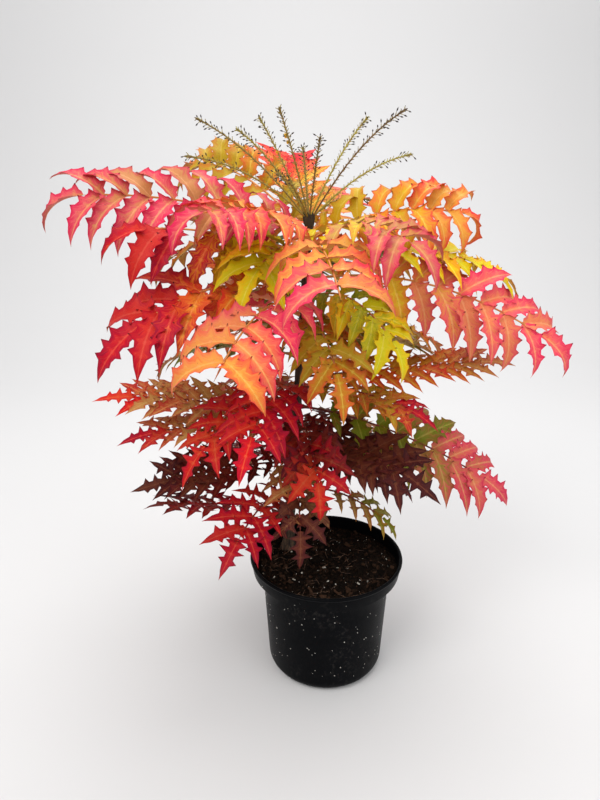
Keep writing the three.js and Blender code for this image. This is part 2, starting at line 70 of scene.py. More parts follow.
# Whorl; height of the root; heading; reach; rise; crown; roll; pairs; leaflet; spread; arch;
# right and left lift; bare share; 1 where a leaflet ends the rib; tint near the stem and the end
FRONDS = [
    ("top", 538, -167, 236, 42, 13, -28, 8, 74, 68, 85, 55, 0, 0.16, 1, "pink", "pink"),
    ("top", 542, -127, 165, 22, 10, -12, 8, 66, 82, 90, 12, 15, 0.14, 1, "peach", "pink"),
    ("top", 526, -82, 190, -32, 20, 5, 6, 72, 86, 95, 14, 14, 0.22, 0, "peach", "coral"),
    ("top", 533, -52, 155, 4, 16, 14, 7, 66, 80, 90, 12, 12, 0.16, 1, "yellow", "pink"),
    ("top", 538, 0, 170, 24, 13, 28, 7, 68, 82, 135, 12, 62, 0.16, 1, "amber", "peach"),
    ("top", 535, 70, 160, 44, 12, 15, 6, 62, 62, 30, 20, 20, 0.18, 1, "amber", "coral"),
    ("top", 545, 101, 160, 82, 5, 5, 6, 66, 60, 15, 20, 20, 0.2, 1, "amber", "scarlet"),
    ("top", 540, 142, 175, 78, 20, -20, 6, 70, 80, 95, 55, 0, 0.2, 1, "ochre", "ochre"),
    ("upper", 508, -155, 178, 40, 12, -30, 7, 78, 66, 75, 10, -5, 0.22, 1, "yellow", "crimson"),
    ("upper", 520, -124, 92, -12, 14, -10, 5, 68, 66, 60, 12, 12, 0.25, 1, "yellow", "yellow"),
    ("upper", 505, 3, 215, -5, 20, 15, 8, 70, 66, 55, 12, 12, 0.2, 1, "yellow", "yellow"),
    ("upper", 515, 155, 185, -8, 22, -10, 6, 68, 66, 60, 12, 12, 0.2, 1, "green", "ochre"),
    ("upper", 500, 55, 205, -8, 22, 10, 7, 68, 66, 60, 12, 12, 0.2, 1, "green", "amber"),
    ("upper", 490, -10, 264, -56, 26, 42, 8, 78, 66, 75, 5, 25, 0.24, 1, "amber", "coral"),
    ("upper", 459, -113, 205, -36, 30, -8, 7, 76, 84, 92, 14, 10, 0.2, 0, "coral", "peach"),
    ("upper", 470, -148, 196, -14, 26, -35, 6, 84, 62, 65, 5, 25, 0.22, 1, "orange", "crimson"),
    ("upper", 486, 85, 200, -12, 24, 0, 6, 68, 66, 60, 12, 12, 0.2, 1, "green", "amber"),
    ("upper", 474, 128, 195, -16, 22, -8, 6, 66, 66, 60, 12, 12, 0.2, 1, "green", "coral"),
    ("upper", 468, -38, 120, -36, 24, 15, 6, 64, 70, 70, 12, 12, 0.24, 1, "olive", "yellow"),
    ("middle", 450, 178, 203, -24, 20, -12, 8, 52, 62, 28, 12, 12, 0.3, 1, "olive", "wine"),
    ("middle", 452, 105, 215, -20, 22, 0, 7, 64, 66, 60, 12, 12, 0.2, 1, "ochre", "amber"),
    ("middle", 440, -72, 115, -34, 22, 5, 6, 60, 72, 70, 12, 12, 0.24, 1, "ochre", "ochre"),
    ("middle", 428, 30, 195, -28, 18, 10, 7, 60, 66, 60, 12, 12, 0.2, 1, "olive", "orange"),
    ("middle", 420, 8, 140, -12, 6, 6, 7, 48, 62, 25, 12, 12, 0.3, 1, "olive", "brown"),
    ("middle", 320, -171, 192, 38, 6, -22, 9, 54, 64, 20, 12, 12, 0.24, 1, "brown", "scarlet"),
    ("middle", 398, 150, 200, -28, 16, -5, 7, 58, 66, 50, 12, 12, 0.2, 1, "olive", "brown"),
    ("middle", 374, -4, 208, 22, 0, 20, 9, 54, 64, 25, 12, 12, 0.24, 1, "orange", "brown"),
    ("middle", 305, -162, 170, 17, 8, -14, 7, 52, 64, 28, 12, 12, 0.26, 1, "brown", "crimson"),
    ("middle", 416, 120, 195, -26, 18, 0, 6, 60, 66, 55, 12, 12, 0.2, 1, "ochre", "orange"),
    ("middle", 410, 62, 185, -26, 18, 5, 6, 58, 66, 55, 12, 12, 0.2, 1, "olive", "orange"),
    ("middle", 378, 75, 200, -28, 16, 5, 7, 56, 66, 50, 12, 12, 0.2, 1, "brown", "orange"),
    ("middle", 361, -32, 140, -2, 8, 14, 7, 50, 64, 40, 12, 12, 0.24, 1, "ochre", "crimson"),
    ("middle", 362, -108, 150, -12, 22, -12, 6, 58, 68, 60, 12, 12, 0.22, 1, "crimson", "scarlet"),
    ("low", 336, -6, 228, -84, 14, 42, 7, 78, 66, 58, 12, 12, 0.3, 1, "olive", "coral"),
    ("low", 345, -138, 138, -26, 22, -10, 6, 60, 68, 40, 12, 12, 0.2, 1, "scarlet", "scarlet"),
    ("low", 328, 165, 175, -34, 14, 0, 6, 54, 66, 45, 12, 12, 0.22, 1, "scarlet", "crimson"),
    ("low", 352, 125, 180, -34, 16, -4, 6, 58, 66, 50, 12, 12, 0.2, 1, "orange", "scarlet"),
    ("low", 334, 92, 180, -36, 16, 0, 6, 56, 66, 50, 12, 12, 0.2, 1, "scarlet", "crimson"),
    ("low", 286, -30, 142, -6, 14, 30, 7, 62, 68, 30, 12, 12, 0.2, 1, "maroon", "maroon"),
    ("low", 318, -76, 100, -40, 22, 5, 6, 58, 72, 70, 12, 12, 0.24, 1, "wine", "scarlet"),
    ("low", 300, 55, 175, -38, 14, 5, 6, 54, 66, 45, 12, 12, 0.22, 1, "wine", "brown"),
    ("low", 262, -167, 156, -10, 5, -28, 7, 54, 62, 5, 12, 12, 0.28, 1, "wine", "maroon"),
    ("low", 272, -12, 125, -20, 18, 15, 6, 54, 66, 40, 12, 12, 0.24, 1, "maroon", "wine"),
    ("low", 284, 85, 155, -36, 14, 0, 6, 54, 66, 50, 12, 12, 0.24, 1, "crimson", "wine"),
    ("low", 270, 145, 145, -34, 14, 0, 6, 52, 66, 50, 12, 12, 0.26, 1, "crimson", "maroon"),
    ("low", 268, -86, 108, -46, 20, -5, 5, 54, 68, 65, 12, 12, 0.26, 1, "brown", "maroon"),
    ("low", 196, -152, 150, 44, 2, 0, 5, 50, 60, 20, 12, 12, 0.42, 1, "crimson", "wine"),
    ("low", 246, 115, 140, -32, 14, 0, 6, 50, 66, 45, 12, 12, 0.26, 1, "crimson", "wine"),
    ("low", 226, -112, 150, 6, 15, -20, 4, 56, 60, 30, 12, 12, 0.45, 1, "crimson", "crimson"),
    ("low", 225, -18, 120, -26, 15, 10, 4, 38, 60, 50, 12, 12, 0.45, 1, "brown", "olive"),
]

# Heading; reach; rise; crown; how far out on the cup the spike starts
SPIKES = [
    (-166, 120, 96, 12, 0.75), (-150, 141, 57, 14, 0.75), (-172, 78, 88, 10, 0.25),
    (172, 55, 102, 6, 0.75), (-125, 54, 104, 6, 0.25), (-75, 40, 78, 4, 0.3),
    (-4, 62, 100, 10, 0.25), (-26, 106, 102, 14, 0.75), (2, 112, 64, 12, 0.75),
    (30, 95, 10, 16, 0.75), (102, 34, 74, 5, 0.3), (-110, 95, 40, 10, 0.75),
]

# Each tint: round the midrib, the blade, its edge, and its veins, as display colours
TINTS = {
    "pink": ((0.82, 0.55, 0.34), (0.85, 0.33, 0.37), (0.82, 0.14, 0.31), (0.93, 0.68, 0.48)),
    "coral": ((0.92, 0.51, 0.34), (0.91, 0.35, 0.37), (0.87, 0.18, 0.34), (0.97, 0.69, 0.48)),
    "peach": ((0.94, 0.65, 0.27), (0.94, 0.46, 0.25), (0.90, 0.22, 0.24), (0.98, 0.79, 0.44)),
    "amber": ((0.86, 0.70, 0.14), (0.87, 0.57, 0.14), (0.86, 0.37, 0.20), (0.94, 0.82, 0.36)),
    "yellow": ((0.87, 0.82, 0.10), (0.92, 0.77, 0.06), (0.90, 0.60, 0.11), (0.94, 0.89, 0.36)),
    "ochre": ((0.74, 0.61, 0.14), (0.76, 0.48, 0.12), (0.80, 0.37, 0.15), (0.86, 0.74, 0.31)),
    "olive": ((0.48, 0.54, 0.10), (0.48, 0.47, 0.08), (0.64, 0.46, 0.13), (0.72, 0.72, 0.29)),
    "green": ((0.30, 0.42, 0.09), (0.28, 0.35, 0.07), (0.42, 0.37, 0.09), (0.54, 0.60, 0.24)),
    "brown": ((0.83, 0.62, 0.34), (0.80, 0.50, 0.28), (0.71, 0.29, 0.19), (0.90, 0.73, 0.46)),
    "orange": ((0.91, 0.62, 0.18), (0.90, 0.42, 0.14), (0.85, 0.20, 0.15), (0.95, 0.71, 0.32)),
    "scarlet": ((0.92, 0.26, 0.13), (0.86, 0.08, 0.11), (0.75, 0.03, 0.16), (0.94, 0.42, 0.25)),
    "crimson": ((0.81, 0.16, 0.13), (0.73, 0.05, 0.14), (0.60, 0.03, 0.17), (0.88, 0.34, 0.26)),
    "wine": ((0.50, 0.15, 0.11), (0.43, 0.08, 0.10), (0.31, 0.04, 0.10), (0.60, 0.28, 0.21)),
    "maroon": ((0.43, 0.20, 0.13), (0.34, 0.11, 0.10), (0.25, 0.07, 0.09), (0.54, 0.31, 0.21)),
}
TINT_PARTS = ("centre", "blade", "edge", "vein")
# The stretch of a frond over which its leaflets turn to the outer tint, and how far neighbours
# differ
TURNING = (0.05, 0.75)
TURN_SPREAD = 0.5
# How late the leaflets of a whorl turn, as a power, and the fronds that differ, by number
LATE = {"top": 1.0, "upper": 0.9, "middle": 3.0, "low": 1.2}
LATE_FRONDS = {2: 2.8, 3: 1.9, 5: 1.6, 14: 0.45, 15: 2.0, 25: 4.5, 28: 3.6, 34: 1.6, 40: 2.4}
# How bright the tints of a whorl are painted: a painted shade that darkens the low whorls, which lie
# in the plant's own shade
PAINTED_SHADE_BY_WHORL = {"top": 1.0, "upper": 1.0, "middle": 0.97, "low": 0.88}


def heading(degrees):
    return Vector((cos(radians(degrees)), sin(radians(degrees)), 0))


def share(number):
    """A steady pseudo-random share from 0 to 1, unlike for numbers that are a little apart."""
    value = sin(number * 12.9898) * 43758.5453
    return value - floor(value)


def swing(span, number):
    """A steady pseudo-random amount in a span round 0."""
    return span * (share(number) - 0.5)


def around(span, number):
    return 1 + swing(span, number)


def mix(a, b, amount):
    return a + (b - a) * amount


def clamp(value, low=0.0, high=1.0):
    return min(max(value, low), high)


def linear(display):
    """A display colour as the numbers that a shader takes."""
    return tuple(c / 12.92 if c <= 0.04045 else ((c + 0.055) / 1.055) ** 2.4 for c in display) + (1,)


# The limbs, as in the solids


def stem_at(z):
    path = STEM.path
    above = next((i for i, point in enumerate(path) if point[2] >= z), len(path) - 1)
    a, b = path[max(above, 1) - 1], path[max(above, 1)]
    amount = (z - a[2]) / (b[2] - a[2])
    return Vector((mix(a[0], b[0], amount), mix(a[1], b[1], amount), z))


STEM_TOP = STEM.path[-1][2]
CLEAR = 0.3  # between the stem and the cup
CUP_MOUTH = stem_at(STEM_TOP) + UP * (CLEAR + CUP.height)


def stem_radius(z):
    height = z - SOIL_TOP
    taper = mix(STEM.foot, STEM.top, height / (STEM_TOP - SOIL_TOP))
    return taper + STEM.flare * exp(-height / STEM.flare_height)


class Arch:
    """The curve from root to end whose middle stands crown above its chord."""

    def __init__(self, root, end, crown):
        self.root = root
        self.end = end
        self.handle = (root + end) / 2 + UP * 2 * crown

    def at(self, t):
        return self.root * (1 - t) ** 2 + self.handle * 2 * t * (1 - t) + self.end * t * t

    def along(self, t):
        slope = (self.handle - self.root) * 2 * (1 - t) + (self.end - self.handle) * 2 * t
        return slope.normalized()


# The small pair near the stem that the solids leave out: how far along the bare part of the rib
# it grows, its size, the room that it needs beside other leaflets, and the steps tested for it
BASAL = Values(place=0.55, size=0.66, room=7.5, tested=(6, 11, 16, 20))
LARGE_LEAFLET = 70
TIP_WITHIN = 0.05  # how near a leaflet's tip has to be to a corner of the solid


class Frond:
    """One frond: its row of values, its rib's curve and its way out from the stem."""

    def __init__(self, row, index):
        (self.whorl, height, way, reach, rise, crown, self.roll, self.pairs, self.leaflet,
         self.spread, self.arch, self.right, self.left, self.bare, self.ended,
         self.inner, self.outer) = row
        self.name = f"frond_{self.whorl}_{index}"
        self.seed = index
        # large leaflets low down have the gentler edges of those above
        large_and_low = self.whorl == "low" and self.leaflet > LARGE_LEAFLET
        self.edges = "upper" if large_and_low else self.whorl
        self.outward = heading(way)
        axis = stem_at(height)
        root = axis + self.outward * (stem_radius(height) + RIB.stand_off)
        self.curve = Arch(root, axis + self.outward * reach + UP * rise, crown)

    def place(self, node):
        """How far along the rib a node lies, as a share of its length."""
        if node < 0:
            return self.bare * BASAL.place
        return self.bare + (1 - self.bare) * (node / self.pairs) ** RIB.crowding

    def on_rib(self, t):
        ring = min(floor(t * RIB.rings), RIB.rings - 1)
        here = self.curve.at(ring / RIB.rings)
        return here.lerp(self.curve.at((ring + 1) / RIB.rings), t * RIB.rings - ring)


class Leaflet:
    """One leaflet of a frond: its root, its way out, the way its face looks, length and arch."""

    def __init__(self, frond, node, side, attempt):
        lift_more, spread_more, shorter = attempt
        out = max(0, node / frond.pairs)
        t = frond.place(node)
        along = frond.curve.along(t)
        flat_side = along.cross(UP).normalized()
        flat_up = flat_side.cross(along)
        roll = radians(frond.roll)
        across = flat_side * cos(roll) - flat_up * sin(roll)
        above = flat_up * cos(roll) + flat_side * sin(roll)
        draw = frond.seed * LEAFLET.draws + node * 2 + (1 if side > 0 else 0)
        spread = radians(frond.spread - LEAFLET.closing * out
                         + swing(LEAFLET.vary_spread, draw) + spread_more)
        stand = frond.right if side > 0 else frond.left
        lift = radians(stand + swing(LEAFLET.vary_lift, draw + 0.3) + lift_more)
        if side == 0:
            way = along + above * tan(radians(lift_more))
        else:
            way = (along * cos(spread) + across * side * sin(spread) * cos(lift)
                   + above * sin(spread) * sin(lift))
        self.way = way.normalized()
        self.face = (above - self.way * above.dot(self.way)).normalized()
        middle = sin(pi * min(1, LEAFLET.start + LEAFLET.run * out))
        size = mix(LEAFLET.least, 1, middle) * (LEAFLET.end_size if side == 0 else 1)
        self.length = frond.leaflet * size * shorter * around(LEAFLET.vary_length, draw + 0.7)
        self.arch = radians(frond.arch) * around(LEAFLET.vary_arch, draw + 0.5)
        self.root = frond.on_rib(t) - along * (RIB.sink if side == 0 else 0)
        self.out = out ** LATE_FRONDS.get(frond.seed, LATE[frond.whorl])
        self.draw = draw
        self.full_arch = frond.arch
        self.edges = frond.edges
        self.spines = SPINES[frond.edges]
        self.midrib = self.bent()

    def bent(self):
        """Points along the midrib with the way that the face looks at each."""
        steps = LEAFLET.steps
        step = self.length / steps
        point = self.root.copy()
        points = [(point.copy(), self.face)]
        for s in range(1, steps + 1):
            bend = self.arch * (s / steps) ** LEAFLET.bend_power
            point += self.way * step * cos(bend) - self.face * step * sin(bend)
            points.append((point.copy(), self.face * cos(bend) + self.way * sin(bend)))
        return points

    def at(self, x):
        place = clamp(x) * LEAFLET.steps
        s = min(floor(place), LEAFLET.steps - 1)
        (a, up_a), (b, up_b) = self.midrib[s], self.midrib[s + 1]
        return a.lerp(b, place - s), up_a.lerp(up_b, place - s).normalized()

    def half_width(self, x):
        full = self.length * LEAFLET.width * FULLNESS[self.edges]
        return full * x ** LEAFLET.root_power * (1 - x)


def leaflets_of(frond):
    """The leaflets that the frond's solid has, each as the try that fitted there."""
    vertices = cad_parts[frond.name].data.vertices
    corners = kdtree.KDTree(len(vertices))
    for vertex in vertices:
        corners.insert(vertex.co, vertex.index)
    corners.balance()
    found = []
    for node in range(frond.pairs + 1):
        if node < frond.pairs:
            sides = (1, -1)
        else:
            sides = (0,) if frond.ended else ()
        for side in sides:
            for attempt in TRIES:
                leaflet = Leaflet(frond, node, side, attempt)
                if corners.find(leaflet.midrib[-1][0] * MM)[2] < TIP_WITHIN * MM:
                    found.append(leaflet)
                    break
    return found


def basal_leaflets(frond, others):
    """The frond's small pair near the stem, each where it has room. others are points."""
    found = []
    for side in (1, -1):
        for lift, spread, shorter in TRIES:
            leaflet = Leaflet(frond, -1, side, (lift, spread, shorter * BASAL.size))
            tested = [leaflet.midrib[step][0] for step in BASAL.tested]
            if min((a - b).length for a in tested for b in others) > BASAL.room:
                found.append(leaflet)
                others += [point for point, _ in leaflet.midrib[::2]]
                break
    return found


# Making meshes

UPRIGHT_UNDER = 1e-4  # a way whose side is shorter than this points straight up


def in_scene(name, data):
    thing = bpy.data.objects.new(name, data)
    bpy.context.scene.collection.objects.link(thing)
    return thing


def new_piece(name, mesh, *materials):
    mesh.name = name
    for material in materials:
        mesh.materials.append(material)
    piece = in_scene(name, mesh)
    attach(piece, "root")
    return piece


def shaded(mesh, smooth_under):
    """The mesh, smooth apart from edges of a greater angle, in degrees."""
    mesh.polygons.foreach_set("use_smooth", [True] * len(mesh.polygons))
    mesh.set_sharp_from_angle(angle=radians(smooth_under))
    return mesh


def mesh_from(bm, smooth_under):
    bmesh.ops.recalc_face_normals(bm, faces=bm.faces)
    mesh = bpy.data.meshes.new("mesh")
    bm.to_mesh(mesh)
    bm.free()
    return shaded(mesh, smooth_under)


def ring_frame(centre, along, radius):
    """The place, turn and size of a limb's ring."""
    side = along.cross(UP)
    side = Vector((1, 0, 0)) if side.length < UPRIGHT_UNDER else side.normalized()
    top = side.cross(along)
    turn = Matrix((side, top, along)).transposed().to_4x4()
    return Matrix.Translation(centre * MM) @ turn @ Matrix.Scale(radius * MM, 4)


def grow_limb(bm, rings, sides, pointed=True):
    """Extrudes a round limb through rings of (centre, along, radius)."""
    frames = [ring_frame(*ring) for ring in rings]
    circle = bmesh.ops.create_circle(bm, cap_ends=True, radius=1, segments=sides, matrix=frames[0])
    ring = circle["verts"]
    rim = list({edge for vertex in ring for edge in vertex.link_edges})
    for last, here in zip(frames, frames[1:]):
        made = bmesh.ops.extrude_edge_only(bm, edges=rim)["geom"]
        ring = [part for part in made if isinstance(part, bmesh.types.BMVert)]
        rim = [part for part in made if isinstance(part, bmesh.types.BMEdge)
               and all(v in ring for v in part.verts)]
        bmesh.ops.transform(bm, matrix=here @ last.inverted(), verts=ring)
    if pointed:
        bmesh.ops.pointmerge(bm, verts=ring, merge_co=frames[-1].translation)
    else:
        bmesh.ops.contextual_create(bm, geom=rim)


class Joined:
    """Many small shapes, gathered in arrays and made into one mesh."""

    def __init__(self):
        self.points = []
        self.faces = []
        self.materials = []
        self.values = {}

    def add(self, points, faces, material=0, **values):
        """values are numbers for each point, or one number for them all."""
        self.points += [tuple(point * MM) for point in points]
        self.add_faces(faces, material, len(points))
        for name, value in values.items():
            several = value if isinstance(value, list) else [value] * len(points)
            self.values.setdefault(name, []).extend(several)

    def add_faces(self, faces, material, count):
        """Faces of a material on the last count points."""
        start = len(self.points) - count
        self.faces += [tuple(start + corner for corner in face) for face in faces]
        self.materials += [material] * len(faces)

    def mesh(self, smooth_under):
        mesh = bpy.data.meshes.new("mesh")
        mesh.from_pydata(self.points, [], self.faces)
        mesh.polygons.foreach_set("material_index", self.materials)
        for name, values in self.values.items():
            attribute = mesh.attributes.new(name, "FLOAT", "POINT")
            attribute.data.foreach_set("value", values)
        return shaded(mesh, smooth_under)


def spindle(root, way, length, radius, waist, sides):
    """A small pod or stalk: a point, a ring at waist of its length, and a point."""
    side = way.orthogonal().normalized()
    top = way.cross(side)
    ring = [root + way * length * waist + side * radius * cos(2 * pi * s / sides)
            + top * radius * sin(2 * pi * s / sides) for s in range(sides)]
    points = [root, *ring, root + way * length]
    faces = []
    for s in range(sides):
        here, after = 1 + s, 1 + (s + 1) % sides
        faces += [(0, after, here), (sides + 1, here, after)]
    return points, faces


# Nodes


class Wire:
    """What a node puts out. A sum on it is written as a sum, and makes a node."""

    def __init__(self, nodes, socket):
        self.nodes = nodes
        self.socket = socket

    def maths(self, operation, other=0.0):
        return self.nodes.add("ShaderNodeMath", {0: self, 1: other}, operation=operation)

    def __add__(self, other):
        return self.maths("ADD", other)

    def __sub__(self, other):
        return self.maths("SUBTRACT", other)

    def __mul__(self, other):
        return self.maths("MULTIPLY", other)

    def __pow__(self, other):
        return self.maths("POWER", other)

    def __abs__(self):
        return self.maths("ABSOLUTE")

    def limited(self):
        """The sum just made, held between 0 and 1."""
        self.socket.node.use_clamp = True
        return self

    def step(self, low, high, start=0.0, end=1.0):
        """A soft step from start to end as the value goes from low to high."""
        span = {"Value": self, "From Min": low, "From Max": high, "To Min": start, "To Max": end}
        return self.nodes.add("ShaderNodeMapRange", span, "Result", interpolation_type="SMOOTHSTEP")

    def fade(self, low, high):
        return self.step(low, high, 1.0, 0.0)


class Nodes:
    """A node tree, with a short way to add each kind of node that the looks need."""

    def __init__(self, tree):
        self.tree = tree

    def put(self, value, target):
        """Joins a wire to an input, or sets the input to a plain value."""
        if isinstance(value, Wire):
            self.tree.links.new(value.socket, target)
        else:
            target.default_value = value

    def add_node(self, kind, inputs, settings):
        node = self.tree.nodes.new(kind)
        for name, value in settings.items():
            setattr(node, name, value)
        for name, value in inputs.items():
            self.put(value, node.inputs[name])
        return node

    def add(self, kind, inputs, output=0, **settings):
        """Adds a node and gives one thing that it puts out."""
        return Wire(self, self.add_node(kind, inputs, settings).outputs[output])

    def use(self, group, inputs):
        """Adds a node group and gives all that it puts out, by name."""
        node = self.add_node("ShaderNodeGroup", inputs, {"node_tree": group})
        return {socket.name: Wire(self, socket) for socket in node.outputs}

    def part(self, vector, axis):
        return self.add("ShaderNodeSeparateXYZ", {"Vector": vector}, axis)

    def vector(self, x, y, z):
        return self.add("ShaderNodeCombineXYZ", {"X": x, "Y": y, "Z": z})

    def value(self, attribute):
        return self.add("ShaderNodeAttribute", {}, "Fac", attribute_name=attribute)

    def noise(self, vector, scale, detail=2.0, roughness=0.5, distortion=0.0):
        inputs = {"Vector": vector, "Scale": scale, "Detail": detail, "Roughness": roughness,
                  "Distortion": distortion}
        return self.add("ShaderNodeTexNoise", inputs, "Fac")

    def blend(self, amount, start, end, most=1.0):
        """The colour on the way from start to end, each a wire, a paint's name or a display colour."""
        ends = []
        for colour in (start, end):
            if isinstance(colour, str):
                colour = PAINTS[colour]
            ends.append(colour if isinstance(colour, Wire) else linear(colour))
        if most < 1:
            amount = amount * most
        return self.add("ShaderNodeMix", {0: amount, 6: ends[0], 7: ends[1]}, 2, data_type="RGBA")


class Group(Nodes):
    """The nodes of a new group. given has what comes in, by name."""

    def __init__(self, name, kinds):
        super().__init__(bpy.data.node_groups.new(name, "ShaderNodeTree"))
        self.add_sockets("INPUT", kinds)
        arrivals = self.tree.nodes.new("NodeGroupInput").outputs
        self.given = {name: Wire(self, arrivals[name]) for name in kinds}

    def add_sockets(self, way, kinds):
        for name, kind in kinds.items():
            self.tree.interface.new_socket(name=name, in_out=way, socket_type="NodeSocket" + kind)

    def gives(self, kind, **wires):
        """Says what the group puts out. The group's tree is returned."""
        self.add_sockets("OUTPUT", dict.fromkeys(wires, kind))
        out = self.tree.nodes.new("NodeGroupOutput").inputs
        for name, wire in wires.items():
            self.put(wire, out[name])
        return self.tree


class Look(Nodes):
    """The nodes of a new material."""

    def __init__(self, name, roughness, gloss=None):
        self.material = bpy.data.materials.new(name)
        self.material.use_nodes = True
        super().__init__(self.material.node_tree)
        self.shader = self.tree.nodes["Principled BSDF"].inputs
        self.put(roughness, self.shader["Roughness"])
        if gloss is not None:
            self.put(gloss, self.shader["Specular IOR Level"])

    def place(self):
        return self.add("ShaderNodeTexCoord", {}, "Object")

    def worn(self, place, patches, grain):
        return self.use(WORN, {"Place": place, "Patches": patches, "Grain": grain})

    def finish(self, colour, height, relief):
        """Gives the shader its colour and a relief of so many metres. The material is returned."""
        self.put(colour, self.shader["Base Color"])
        bump = self.add("ShaderNodeBump", {"Height": height, "Distance": relief, "Strength": 1.0})
        self.put(bump, self.shader["Normal"])
        return self.material


# Shared finishes

# Display colours
PAINTS = {
    "leaf spot": (0.27, 0.13, 0.07), "leaf spine": (0.25, 0.10, 0.07), "leaf back": (0.80, 0.66, 0.45),
    "low rib": (0.36, 0.11, 0.08), "high rib": (0.90, 0.60, 0.30), "rib node": (0.60, 0.16, 0.11),
    "rib blush": (0.76, 0.27, 0.17),
    "furrow": (0.11, 0.07, 0.055), "ridge": (0.36, 0.28, 0.21), "bark dirt": (0.22, 0.19, 0.13),
    "plastic": (0.025, 0.028, 0.037), "grey plastic": (0.08, 0.085, 0.10), "dust": (0.36, 0.34, 0.32),
    "wet peat": (0.04, 0.03, 0.025), "peat": (0.12, 0.085, 0.065), "dry fibre": (0.22, 0.17, 0.13),
    "olive stalk": (0.70, 0.65, 0.24), "maroon stalk": (0.34, 0.17, 0.17), "straw": (0.58, 0.47, 0.20),
    "bud scar": (0.13, 0.10, 0.105), "studio paper": (0.85, 0.848, 0.85),
}

# A leaflet's pattern: how many veins, cells, streaks and specks fall on it, and where each fades.
# Across, 0 is the midrib and 1 the edge. seeds sets leaflets apart in the noise.
PATTERN = Values(
    midrib=(0.02, 0.15), veins=6.5, slant=1.7, vein=(0.0, 0.09), vein_end=(0.7, 0.98), length=3.0,
    net=9.0, thread=(0.0, 0.09), streaks=(1.5, 0.9, 1.3), specks=19.0, speck=(0.70, 0.76),
    seeds=40.0,
)
PATTERN_PARTS = ("Midrib", "Veins", "Streaks", "Spots", "Side", "Along")
LEAF_VALUES = ("Out", "Draw", "Spine")

# How far side, tip, streaks and each leaflet's own draw push its colours on from centre to edge
PUSH = Values(side_power=1.3, side=0.75, tip=0.5, streaks=1.5, draw=0.8, held=0.4)
BLADE_BAND = (0.05, 0.65)
EDGE_BAND = (0.6, 1.15)
PALE = Values(midrib=0.55, veins=0.22)
LIGHT = Values(least=0.86, more=0.22)
STREAKS_TURN = 0.9  # how far streaks push a leaflet on from its inner to its outer tint
SPINE_BAND = (0.72, 0.98)


def leaf_pattern():
    """Where a leaflet's midrib, veins, streaks, spots and edge fall, from its own UV map."""
    nodes = Group("leaf pattern", {"Leaf UV": "Vector", "Draw": "Float"})
    across, along = [nodes.part(nodes.given["Leaf UV"], axis) for axis in "XY"]
    side = abs(across - 0.5) * 2.0
    seed = nodes.given["Draw"] * PATTERN.seeds
    # veins leave the midrib forwards, so they are level lines of a slanted measure
    slant = along * PATTERN.veins - side * PATTERN.slant
    from_vein = abs(slant.maths("FRACT") - 0.5)
    sheet = nodes.vector(across, along * PATTERN.length, seed)
    from_thread = nodes.add("ShaderNodeTexVoronoi", {"Vector": sheet, "Scale": PATTERN.net},
                            "Distance", feature="DISTANCE_TO_EDGE")
    streak_along, streak_across, streak_scale = PATTERN.streaks
    grain = nodes.vector(slant * streak_along, side * streak_across, seed)
    return nodes.gives(
        "Float",
        Midrib=side.fade(*PATTERN.midrib),
        Veins=from_vein.fade(*PATTERN.vein) * side.fade(*PATTERN.vein_end),
        Net=from_thread.fade(*PATTERN.thread),
        Streaks=nodes.noise(grain, streak_scale, detail=4.0, roughness=0.6, distortion=0.3),
        Spots=nodes.noise(sheet, PATTERN.specks, detail=1.0).step(*PATTERN.speck),
        Side=side,
        Along=along)


def leaf_tint():
    """A leaflet's colour from its frond's two tints and where its pattern falls."""
    kinds = {f"{end} {part}": "Color" for end in ("Inner", "Outer") for part in TINT_PARTS}
    kinds.update(dict.fromkeys(LEAF_VALUES + PATTERN_PARTS, "Float"))
    nodes = Group("leaf tint", kinds)
    given = nodes.given
    wave = given["Streaks"] - 0.5
    turned = (given["Out"] + wave * STREAKS_TURN).step(*TURNING)
    centre, blade, edge, vein = [
        nodes.blend(turned, given[f"Inner {part}"], given[f"Outer {part}"]) for part in TINT_PARTS]
    # the colours run from the midrib to the edge, and further in towards the tip
    pushed = given["Side"] ** PUSH.side_power * PUSH.side + given["Along"] * PUSH.tip
    pushed = pushed + wave * PUSH.streaks + given["Draw"] * PUSH.draw - PUSH.held
    colour = nodes.blend(pushed.step(*BLADE_BAND), centre, blade)
    colour = nodes.blend(pushed.step(*EDGE_BAND), colour, edge)
    pale = given["Midrib"] * PALE.midrib + given["Veins"] * PALE.veins
    colour = nodes.blend(pale.limited(), colour, vein)
    light = given["Draw"] * LIGHT.more + LIGHT.least
    colour = nodes.add("ShaderNodeHueSaturation", {"Color": colour, "Value": light}, "Color")
    colour = nodes.blend(given["Spots"], colour, "leaf spot", most=0.5)
    spine = given["Spine"].step(*SPINE_BAND)
    return nodes.gives("Color", Colour=nodes.blend(spine, colour, "leaf spine"))


def worn_surface():
    """Soft dirt in patches and a fine grain, for things that stand outdoors."""
    nodes = Group("worn surface", {"Place": "Vector", "Patches": "Float", "Grain": "Float"})
    place, patches, grain = nodes.given.values()
    cloud = nodes.noise(place, patches, detail=4.0, roughness=0.6, distortion=0.4)
    return nodes.gives("Float", Dirt=cloud.step(0.48, 0.72),
                       Grain=nodes.noise(place, grain, detail=3.0, roughness=0.6))


LEAF_PATTERN = leaf_pattern()
LEAF_TINT = leaf_tint()
WORN = worn_surface()


# Materials

LEAF_GLOSS = 0.12
PLASTIC_GLOSS = 0.04
EARTH_GLOSS = 0.06
